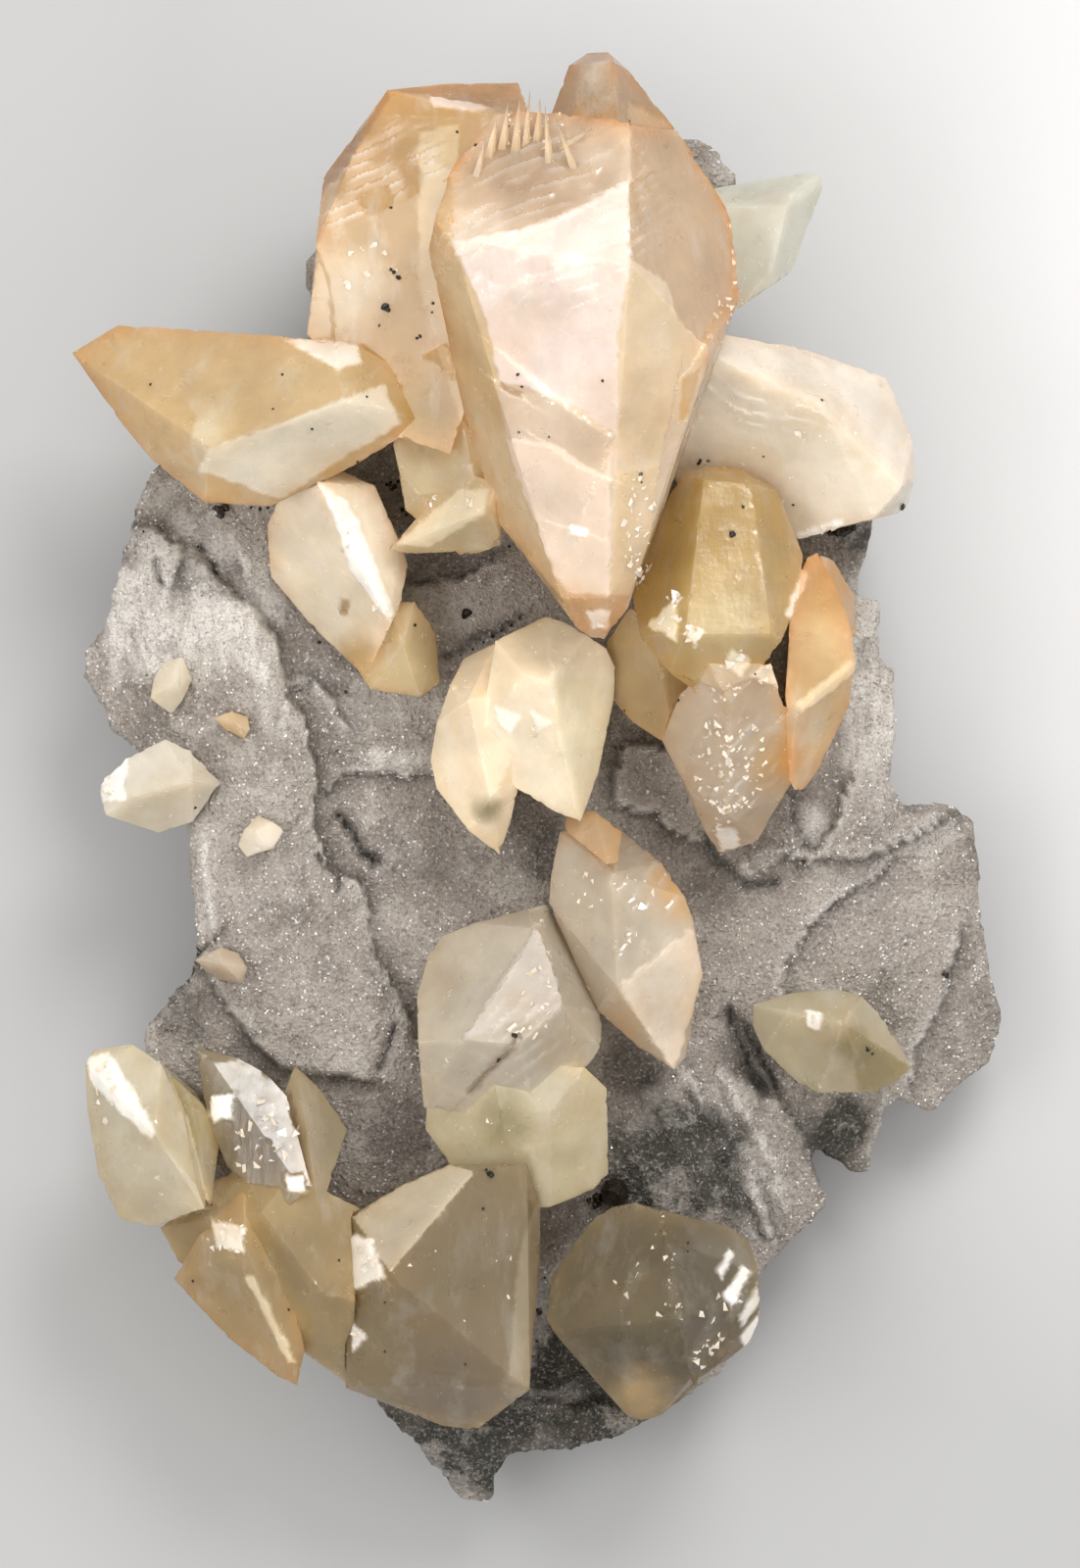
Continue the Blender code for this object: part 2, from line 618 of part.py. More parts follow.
# Rounded colours of the materials, as linear red, green and blue
PEACH = (0.80, 0.56, 0.37)
HONEY_COLOUR = (0.72, 0.52, 0.28)
CREAM = (0.72, 0.62, 0.44)
PALE = (0.66, 0.64, 0.54)
ROCK = (0.30, 0.28, 0.27)
BLACK = (0.02, 0.018, 0.016)

# Each node: its name, the crystals that have grown into one solid, its colour and roughness.
# A node is trimmed where it meets one named before it
NODES = (
    ("crown_group", (MAIN, MAIN_TOWER, TAN, HONEY, LEFT_ARM, WEDGE), PEACH, 0.25),
    ("golden_group", (GOLDEN, BROWN, CLEAR_TIP, ORANGE, ORANGE_BACK), HONEY_COLOUR, 0.25),
    ("grey_arm", (GREY_ARM,), PALE, 0.3),
    ("pale_spur", (PALE_SPUR,), PALE, 0.3),
    ("leaning_crystal", (LEANING, LEANING_FOOT), HONEY_COLOUR, 0.25),
    ("centre_twin", (TWIN_RIGHT, TWIN_LEFT), CREAM, 0.25),
    ("bottom_block", (BOTTOM_BLOCK,), CREAM, 0.25),
    ("silver_kite", (SILVER, SILVER_FOOT), CREAM, 0.25),
    ("lower_kite", (LOWER_KITE, KITE_CAP), PEACH, 0.25),
    ("olive_crystal", (OLIVE,), PALE, 0.3),
    (
        "foot_group",
        (FOOT_SLAB, FOOT_BLADE, FOOT_SLIVER, FOOT_WINDOW, FOOT_FIN, FOOT_POINT),
        CREAM,
        0.25,
    ),
    ("edge_egg", (EDGE_EGG,), PALE, 0.3),
    ("small_bipyramid", (SMALL_BIPYRAMID,), CREAM, 0.3),
    ("tiny_block", (TINY_BLOCK,), CREAM, 0.3),
    ("amber_stub", (AMBER_STUB,), HONEY_COLOUR, 0.4),
    ("edge_stub", (EDGE_STUB,), HONEY_COLOUR, 0.4),
    ("right_pebble", (RIGHT_PEBBLE,), PALE, 0.3),
    ("sphalerite_grain", (SPHALERITE,), BLACK, 0.35),
)


def clear_scene():
    for obj in list(bpy.data.objects):
        bpy.data.objects.remove(obj)


def finish_material(name, colour, roughness):
    material = bpy.data.materials.new(name)
    material.use_nodes = True
    shader = material.node_tree.nodes["Principled BSDF"]
    shader.inputs["Base Color"].default_value = (*colour, 1)
    shader.inputs["Roughness"].default_value = roughness
    shader.inputs["Metallic"].default_value = 0
    return material


def add_object(name, bm):
    bmesh.ops.recalc_face_normals(bm, faces=bm.faces)
    mesh = bpy.data.meshes.new(name)
    bm.to_mesh(mesh)
    bm.free()
    obj = bpy.data.objects.new(name, mesh)
    bpy.context.scene.collection.objects.link(obj)
    return obj


def make_helper(obj):
    obj.hide_render = True
    obj.display_type = "WIRE"
    return obj


def front_of(crystal, x, y):
    """Height of the crystal's front at (x, y), in millimetres."""
    heights = []
    for corners in crystal.faces:
        a, b, c = (Vector(corner) for corner in corners)
        normal = (b - a).cross(c - a)
        heights.append(a.z - (normal.x * (x - a.x) + normal.y * (y - a.y)) / normal.z)
    return min(heights)


def corners_of(crystal):
    """The outline's corners at the height of the front, and again at the root, and the
    corners of the faces between them."""
    root = Vector((*crystal.root, crystal.floor))
    corners = []
    for x, y in crystal.outline:
        corners.append(Vector((x, y, front_of(crystal, x, y))))
        corners.append(root.lerp(Vector((x, y, crystal.floor)), crystal.taper))
    for face in crystal.faces:
        for x, y, z in face:
            if z < front_of(crystal, x, y) + FACE_FIT:
                corners.append(Vector((x, y, z)))
    return corners


def planes_of(crystal):
    """Each face of the crystal as a point on it and its outward normal, in millimetres."""
    bm = bmesh.new()
    for corner in corners_of(crystal):
        bm.verts.new(corner)
    bmesh.ops.convex_hull(bm, input=bm.verts)
    bm.normal_update()
    planes = []
    for face in sorted(bm.faces, key=lambda face: -face.calc_area()):
        if face.calc_area() < SMALLEST_FACE:
            continue
        point = face.calc_center_median()
        normal = face.normal.copy()
        for place, direction in planes:
            off = abs((point - place).dot(direction))
            if off < FACE_FIT and normal.angle(direction) < SAME_FACE:
                break
        else:
            planes.append((point, normal))
    bm.free()
    return planes


def crystal_solid(crystal, grown=0.0):
    """A bmesh of the crystal, with each of its faces moved out by grown millimetres."""
    bm = bmesh.new()
    bmesh.ops.create_cube(bm, size=1.0)
    for point, normal in planes_of(crystal):
        everything = bm.verts[:] + bm.edges[:] + bm.faces[:]
        cut = bmesh.ops.bisect_plane(
            bm,
            geom=everything,
            dist=1e-9,
            plane_co=(point + normal * grown) * MM,
            plane_no=normal,
            clear_outer=True,
        )
        rim = [item for item in cut["geom_cut"] if isinstance(item, bmesh.types.BMEdge)]
        if len(rim) > 2:
            bmesh.ops.contextual_create(bm, geom=rim)
    bmesh.ops.remove_doubles(bm, verts=bm.verts, dist=1e-6)
    bmesh.ops.triangulate(bm, faces=bm.faces)
    return bm


def combine(obj, other, operation):
    modifier = obj.modifiers.new(other.name, "BOOLEAN")
    modifier.operation = operation
    modifier.solver = "EXACT"
    modifier.object = other


def may_meet(first, second):
    """Whether two crystals' outlines come near each other, by their boxes."""
    for axis in (0, 1):
        a = [point[axis] for point in first.outline]
        b = [point[axis] for point in second.outline]
        if min(a) - GAP > max(b) or min(b) - GAP > max(a):
            return False
    return True


def make_cutters(name, crystals):
    return [
        make_helper(add_object(f"{name}_socket_{i}", crystal_solid(crystal, GAP)))
        for i, crystal in enumerate(crystals)
    ]


def make_crystals():
    """Makes each crystal node, and returns the cutters that its neighbours need."""
    done = []
    for name, crystals, colour, roughness in NODES:
        obj = add_object(name, crystal_solid(crystals[0]))
        obj.data.materials.append(finish_material(f"{name}_finish", colour, roughness))
        for i, crystal in enumerate(crystals[1:]):
            part = make_helper(add_object(f"{name}_part_{i}", crystal_solid(crystal)))
            combine(obj, part, "UNION")
        for others, cutters in done:
            for other, cutter in zip(others, cutters):
                if any(may_meet(other, crystal) for crystal in crystals):
                    combine(obj, cutter, "DIFFERENCE")
        done.append((crystals, make_cutters(name, crystals)))
    return [cutter for _, cutters in done for cutter in cutters]


def outline_points():
    """The outline with its long sides broken up and made ragged."""
    dice = random.Random(5)
    points = []
    for i, start in enumerate(OUTLINE):
        start = Vector(start)
        end = Vector(OUTLINE[(i + 1) % len(OUTLINE)])
        pieces = max(1, round((end - start).length / EDGE_STEP))
        points.append(start)
        for k in range(1, pieces):
            jitter = Vector((dice.uniform(-1, 1), dice.uniform(-1, 1))) * EDGE_JITTER
            points.append(start.lerp(end, k / pieces) + jitter)
    return points


def inside(point, polygon):
    found = False
    for i, a in enumerate(polygon):
        b = polygon[i - 1]
        if (a.y > point.y) != (b.y > point.y):
            crossing = (b.x - a.x) * (point.y - a.y) / (b.y - a.y) + a.x
            found ^= point.x < crossing
    return found


def nearest_on(point, start, end):
    """The point of the line from start to end that is nearest to a point."""
    on, share = geometry.intersect_point_line(point, start, end)
    if share < 0:
        return start
    if share > 1:
        return end
    return Vector(on[:2])


def distance_to_edge(point, polygon):
    return min((point - nearest_on(point, a, polygon[i - 1])).length for i, a in enumerate(polygon))


def ledge_side(x, y):
    """How far (x, y) is from the ledge: more than 0 on its raised side, less on the other."""
    place = Vector((x, y))
    best = math.inf
    side = 1.0
    for a, b in zip(LEDGE, LEDGE[1:]):
        start = Vector(a)
        end = Vector(b)
        away = (place - nearest_on(place, start, end)).length
        if away < best:
            best = away
            side = -math.copysign(1.0, (end - start).cross(place - start))
    return side * best


def front_height(x, y):
    """The plate's front face: its relief, the ledge on the left, and a little roughness."""
    total = 0.0
    weight = 0.0
    for px, py, pz in RELIEF:
        share = ((x - px) ** 2 + (y - py) ** 2 + RELIEF_BLUR**2) ** -RELIEF_FALL
        total += share * pz
        weight += share
    away = ledge_side(x, y)
    step = 0.5 * math.tanh(2 * away / LEDGE_WIDTH)
    fade = math.exp(-abs(away) / LEDGE_FADE)
    rough = noise.fractal(Vector((x, y, 0)) / LUMP_SIZE, 0.9, 2.1, 4) * ROUGHNESS
    return total / weight + LEDGE_HEIGHT * step * fade + rough


def back_height(x, y):
    """The plate's back: flat at 0 in the middle, and broken away upwards towards the edge."""
    across = (x - PLATE_CENTRE[0]) / FLAT_HALF_WIDTH
    along = (y - PLATE_CENTRE[1]) / FLAT_HALF_LENGTH
    wobble = noise.noise(Vector((x, y, 7)) / BACK_WAVE) * BACK_WOBBLE
    past = math.hypot(across, along) - 1 + wobble
    if past <= 0:
        return 0.0
    rise = BACK_RISE * past * FLAT_HALF_WIDTH
    rough = abs(noise.noise(Vector((x, y, 3)) / BACK_LUMP)) * BACK_ROUGHNESS
    return min(rise + rough * min(1, past / BACK_START), BACK_LIMIT)


def drawn_in(point, distance):
    centre = Vector(PLATE_CENTRE)
    away = point - centre
    return centre + away * (1 - distance / away.length)


def grid_inside(polygon, step, clearance):
    """Points of a jittered grid that keep clear of the polygon's edge."""
    dice = random.Random(11)
    columns = int(max(abs(point.x) for point in polygon) / step)
    rows = int(max(abs(point.y) for point in polygon) / step)
    points = []
    for j in range(-rows, rows + 1):
        for i in range(-columns, columns + 1):
            shift = Vector((dice.uniform(-1, 1), dice.uniform(-1, 1))) * GRID_JITTER
            point = (Vector((i + 0.5 * (j % 2), j)) + shift) * step
            if inside(point, polygon) and distance_to_edge(point, polygon) > clearance:
                points.append(point)
    return points


def fill_face(bm, ring, step, height, clearance):
    """Fills a ring of vertices with a face of triangles at height(x, y), both in mm."""
    polygon = [Vector((v.co.x, v.co.y)) / MM for v in ring]
    inner = grid_inside(polygon, step, clearance)
    count = len(polygon)
    border = [(i, (i + 1) % count) for i in range(count)]
    found = geometry.delaunay_2d_cdt(polygon + inner, border, [], 1, 1e-6)
    points, triangles, origins = found[0], found[2], found[3]
    verts = []
    for point, origin in zip(points, origins):
        if origin and min(origin) < count:
            verts.append(ring[min(origin)])
        else:
            z = height(point.x, point.y)
            verts.append(bm.verts.new(Vector((point.x, point.y, z)) * MM))
    for triangle in triangles:
        bm.faces.new([verts[i] for i in triangle])


def side_point(point, distance, share):
    """A point of the broken side behind an outline point, drawn in and lower by a share."""
    wave = noise.noise(point.to_3d() / SIDE_WAVE)
    place = drawn_in(point, distance * (SIDE_DEPTH + SIDE_DEPTH_RANGE * wave))
    top = front_height(point.x, point.y) - EDGE_DROP
    uneven = noise.noise(Vector((point.x, point.y, distance * SIDE_WAVE)) / SIDE_WAVE)
    fall = min(1, share * (1 + SIDE_UNEVEN * uneven))
    return Vector((place.x, place.y, top + (BACK_EDGE - top) * fall))


def back_point(point):
    """A point of the back's edge, behind an outline point."""
    place = drawn_in(point, BACK_INSET)
    return Vector((place.x, place.y, max(back_height(place.x, place.y), BACK_LOWEST)))


def make_plate(cutters):
    """The rock plate, with a socket where each crystal is rooted."""
    bm = bmesh.new()
    outline = outline_points()
    rings = [[side_point(point, *ring) for point in outline] for ring in SIDE_RINGS]
    rings.append([back_point(point) for point in outline])
    rings = [[bm.verts.new(place * MM) for place in ring] for ring in rings]
    count = len(outline)
    for upper, lower in zip(rings, rings[1:]):
        for i in range(count):
            k = (i + 1) % count
            bm.faces.new((upper[i], upper[k], lower[k], lower[i]))
    fill_face(bm, rings[0], GRID_FRONT, front_height, GRID_FRONT * GRID_CLEAR)
    fill_face(bm, rings[-1], GRID_BACK, back_height, GRID_BACK * GRID_CLEAR)
    bmesh.ops.triangulate(bm, faces=bm.faces)
    plate = add_object("matrix", bm)
    plate.data.materials.append(finish_material("matrix_finish", ROCK, 0.7))
    for cutter in cutters:
        combine(plate, cutter, "DIFFERENCE")


def main():
    clear_scene()
    make_plate(make_crystals())


main()
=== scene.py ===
"""The looks of the calcite cluster: clear and cloudy crystals, druse-coated rock, black grains,
a pale floor and soft light. Metres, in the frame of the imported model. The specimen lies on its
back and the camera looks straight down on it."""

import math
import random
from typing import NamedTuple

import bmesh
import bpy
import numpy as np
from mathutils import Euler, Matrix, Vector, geometry, kdtree, noise
from mathutils.bvhtree import BVHTree


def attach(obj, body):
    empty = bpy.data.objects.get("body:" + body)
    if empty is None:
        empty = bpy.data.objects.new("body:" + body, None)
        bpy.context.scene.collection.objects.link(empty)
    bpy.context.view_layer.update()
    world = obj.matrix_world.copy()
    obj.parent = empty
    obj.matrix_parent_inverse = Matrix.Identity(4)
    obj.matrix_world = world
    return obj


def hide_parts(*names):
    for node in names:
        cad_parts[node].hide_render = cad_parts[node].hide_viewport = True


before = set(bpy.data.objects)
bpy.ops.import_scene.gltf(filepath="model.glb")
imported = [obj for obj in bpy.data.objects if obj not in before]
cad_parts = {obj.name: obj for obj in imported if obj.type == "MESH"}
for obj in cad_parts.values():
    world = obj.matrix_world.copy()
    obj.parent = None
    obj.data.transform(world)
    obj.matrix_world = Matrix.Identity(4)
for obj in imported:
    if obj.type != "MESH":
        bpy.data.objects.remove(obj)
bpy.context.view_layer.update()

# Where the noise that makes paths ragged starts
WANDER_SEED = 4

# The photograph's scale and middle, in its own pixels
MM = 0.001
PIXEL = 0.2 * MM
MIDDLE = (551, 800)
FRAME_HEIGHT = 1600 * PIXEL

CAMERA_HEIGHT = 4.0
SENSOR = 36.0

# Brightness of the room at the horizon and overhead, and of the lamps, in watts
ROOM_LOW = 0.42
ROOM_HIGH = 1.15
TOP_LAMP = 5.9
LEFT_FILL = 3.4
LOW_FILL = 1.2

# Facets are cut into triangles of about this size, finer where the camera sees them
COARSER = 1.0
FINEST_STEP = 0.48 * MM * COARSER
FINE_STEP = 0.65 * MM * COARSER
SIDE_STEP = 1.8 * MM * COARSER
ROOT_STEP = 4.0 * MM
ROOT_HEIGHT = 30 * MM
SHARP = math.radians(20)
ROCK_VOXEL = 1.15 * MM * COARSER
ROCK_STEEPNESS = 1.7
DRUSE_GRAINS = 15000

UP = Vector((0, 0, 1))
HIGH = 1.0

# How far each colour of light strays inside cloudy calcite
SCATTER = (1.0, 0.85, 0.7)
# The pale colour of the painted highlights along ridges and on the crests of cleavage steps
RIDGE_HIGHLIGHT = (1.0, 0.90, 0.78)
ORANGE_EDGE = (0.84, 0.40, 0.13)
SOFT_EDGE = (0.86, 0.62, 0.30)


def at(px, py):
    """The place on the specimen that the photograph's pixel shows."""
    return Vector(((px - MIDDLE[0]) * PIXEL, (MIDDLE[1] - py) * PIXEL))


class Look(NamedTuple):
    """One crystal: a pixel on its front, its tint, how cloudy it is, and the colour that its
    outer edges take, with how strong that is."""

    seed: tuple
    tint: tuple
    cloud: float
    edge: tuple = SOFT_EDGE
    warmth: float = 0.3


class Patch(NamedTuple):
    """A patch of another tint on a crystal: a pixel on it, its radius in pixels, or 0 for the
    whole facet there, its tint, and its cloudiness."""

    place: tuple
    radius: float
    tint: tuple
    cloud: float


class Area(NamedTuple):
    """A facet, painted glint or stain with sharp edges: its outline in pixels, its tint, its
    cloudiness, and how far it stands out, in mm. Facets are tinted lighter or darker partly in their own tone
    and partly as painted light and shade."""

    outline: tuple
    tint: tuple
    cloud: float
    lift: float = 0.0


class Step(NamedTuple):
    """A step along a path of pixels. The left hand side, walking along it, is higher. Its
    height, the width of its riser and how far it fades, in millimetres."""

    path: tuple
    height: float
    width: float
    fade: float


class Line(NamedTuple):
    """A ridge along a path of pixels, or a groove where its height is below 0, in mm."""

    path: tuple
    height: float
    width: float


LOOKS = {
    "crown_group": {
        "main": Look((560, 400), (0.95, 0.76, 0.56), 0.55, ORANGE_EDGE, 0.8),
        "tower": Look((600, 110), (0.74, 0.52, 0.30), 0.35, ORANGE_EDGE, 0.8),
        "tan": Look((400, 200), (0.62, 0.38, 0.15), 0.6, ORANGE_EDGE, 0.8),
        "honey": Look((445, 430), (0.52, 0.33, 0.13), 0.7, ORANGE_EDGE, 0.3),
        "arm": Look((250, 400), (0.84, 0.62, 0.33), 0.5, ORANGE_EDGE, 0.5),
        "wedge": Look((450, 535), (0.86, 0.68, 0.40), 0.5, ORANGE_EDGE, 0.2),
    },
    "golden_group": {
        "golden": Look((730, 560), (0.82, 0.55, 0.18), 0.42, ORANGE_EDGE, 0.3),
        "brown": Look((640, 690), (0.76, 0.53, 0.24), 0.45, ORANGE_EDGE, 0.2),
        "clear_tip": Look((740, 780), (1.0, 0.80, 0.58), 0.42, ORANGE_EDGE, 0.2),
        "orange": Look((835, 640), (0.94, 0.66, 0.33), 0.6, ORANGE_EDGE, 0.8),
        "orange_back": Look((848, 590), (0.95, 0.78, 0.58), 0.5, ORANGE_EDGE, 0.4),
    },
    "leaning_crystal": {
        "leaning": Look((310, 560), (1.0, 0.87, 0.66), 0.78, ORANGE_EDGE, 0.4),
        "foot": Look((425, 670), (0.92, 0.74, 0.42), 0.55, ORANGE_EDGE, 0.4),
    },
    "grey_arm": {"grey": Look((780, 480), (1.0, 0.88, 0.70), 0.7, ORANGE_EDGE, 0.15)},
    "pale_spur": {"spur": Look((780, 240), (0.84, 0.83, 0.70), 0.6, SOFT_EDGE, 0.1)},
    "centre_twin": {
        "right": Look((600, 740), (1.0, 0.86, 0.64), 0.78, SOFT_EDGE, 0.3),
        "left": Look((480, 770), (0.96, 0.77, 0.54), 0.78, SOFT_EDGE, 0.3),
    },
    "bottom_block": {"block": Look((470, 1290), (0.46, 0.35, 0.19), 0.32, SOFT_EDGE, 0.4)},
    "silver_kite": {
        "silver": Look((540, 1020), (0.76, 0.67, 0.53), 0.5, SOFT_EDGE, 0.2),
        "foot": Look((570, 1160), (0.86, 0.74, 0.48), 0.5, SOFT_EDGE, 0.3),
    },
    "lower_kite": {
        "kite": Look((650, 960), (0.90, 0.78, 0.60), 0.42, ORANGE_EDGE, 0.3),
        "cap": Look((610, 850), (0.78, 0.56, 0.34), 0.5, ORANGE_EDGE, 0.4),
    },
    "olive_crystal": {"olive": Look((640, 1330), (0.30, 0.23, 0.12), 0.28, SOFT_EDGE, 0.4)},
    "foot_group": {
        "slab": Look((300, 1250), (0.50, 0.37, 0.18), 0.45, SOFT_EDGE, 0.4),
        "blade": Look((140, 1170), (0.90, 0.80, 0.58), 0.5, SOFT_EDGE, 0.3),
        "sliver": Look((208, 1165), (0.62, 0.52, 0.28), 0.4, SOFT_EDGE, 0.3),
        "window": Look((280, 1150), (0.36, 0.29, 0.18), 0.35, SOFT_EDGE, 0.3),
        "fin": Look((325, 1150), (0.60, 0.50, 0.32), 0.4, SOFT_EDGE, 0.3),
        "point": Look((240, 1320), (0.62, 0.46, 0.24), 0.45, ORANGE_EDGE, 0.3),
    },
    "edge_egg": {"egg": Look((165, 800), (0.94, 0.88, 0.74), 0.6, SOFT_EDGE, 0.1)},
    "small_bipyramid": {"bipyramid": Look((178, 702), (0.95, 0.88, 0.72), 0.6)},
    "tiny_block": {"block": Look((265, 853), (0.96, 0.88, 0.76), 0.65)},
    "amber_stub": {"stub": Look((241, 741), (0.84, 0.62, 0.38), 0.5)},
    "edge_stub": {"stub": Look((230, 983), (0.84, 0.70, 0.54), 0.5)},
    "right_pebble": {"pebble": Look((830, 1055), (0.70, 0.62, 0.44), 0.5, SOFT_EDGE, 0.1)},
}

DARK_CRYSTALS = ("block", "olive", "slab", "window", "fin", "point")

PATCHES = {
    "crown_group": (
        Patch((548, 190), 92, (0.78, 0.56, 0.36), 0.4),
        Patch((350, 310), 60, (0.92, 0.74, 0.50), 0.6),
        Patch((205, 445), 44, (0.98, 0.86, 0.62), 0.6),
        Patch((110, 355), 50, (0.90, 0.60, 0.26), 0.5),
        Patch((440, 440), 55, (0.42, 0.26, 0.06), 0.7),
    ),
    "golden_group": (
        Patch((735, 640), 70, (0.92, 0.72, 0.38), 0.5),
        Patch((835, 600), 50, (0.90, 0.50, 0.16), 0.5),
        Patch((835, 720), 60, (0.96, 0.66, 0.30), 0.5),
        Patch((790, 780), 40, (0.92, 0.55, 0.20), 0.5),
    ),
    "centre_twin": (Patch((499, 826), 20, (0.50, 0.42, 0.20), 0.4),),
    "leaning_crystal": (Patch((363, 672), 34, (0.93, 0.64, 0.28), 0.5),),
    "olive_crystal": (
        Patch((655, 1330), 60, (0.36, 0.29, 0.16), 0.3),
        Patch((655, 1415), 40, (0.86, 0.58, 0.26), 0.4),
        Patch((730, 1290), 60, (0.52, 0.46, 0.36), 0.3),
    ),
    "silver_kite": (Patch((517, 1138), 34, (0.56, 0.48, 0.22), 0.4),),
    "lower_kite": (
        Patch((690, 905), 44, (0.93, 0.56, 0.22), 0.5),
        Patch((640, 1040), 44, (0.96, 0.72, 0.46), 0.5),
    ),
    "right_pebble": (Patch((865, 1064), 26, (0.40, 0.34, 0.15), 0.4),),
    "bottom_block": (
        # The upper-left facet painted lighter: painted light on that facet
        Patch((395, 1215), 0, (0.90, 0.77, 0.56), 0.5),
        Patch((470, 1390), 70, (0.50, 0.38, 0.24), 0.3),
    ),
}
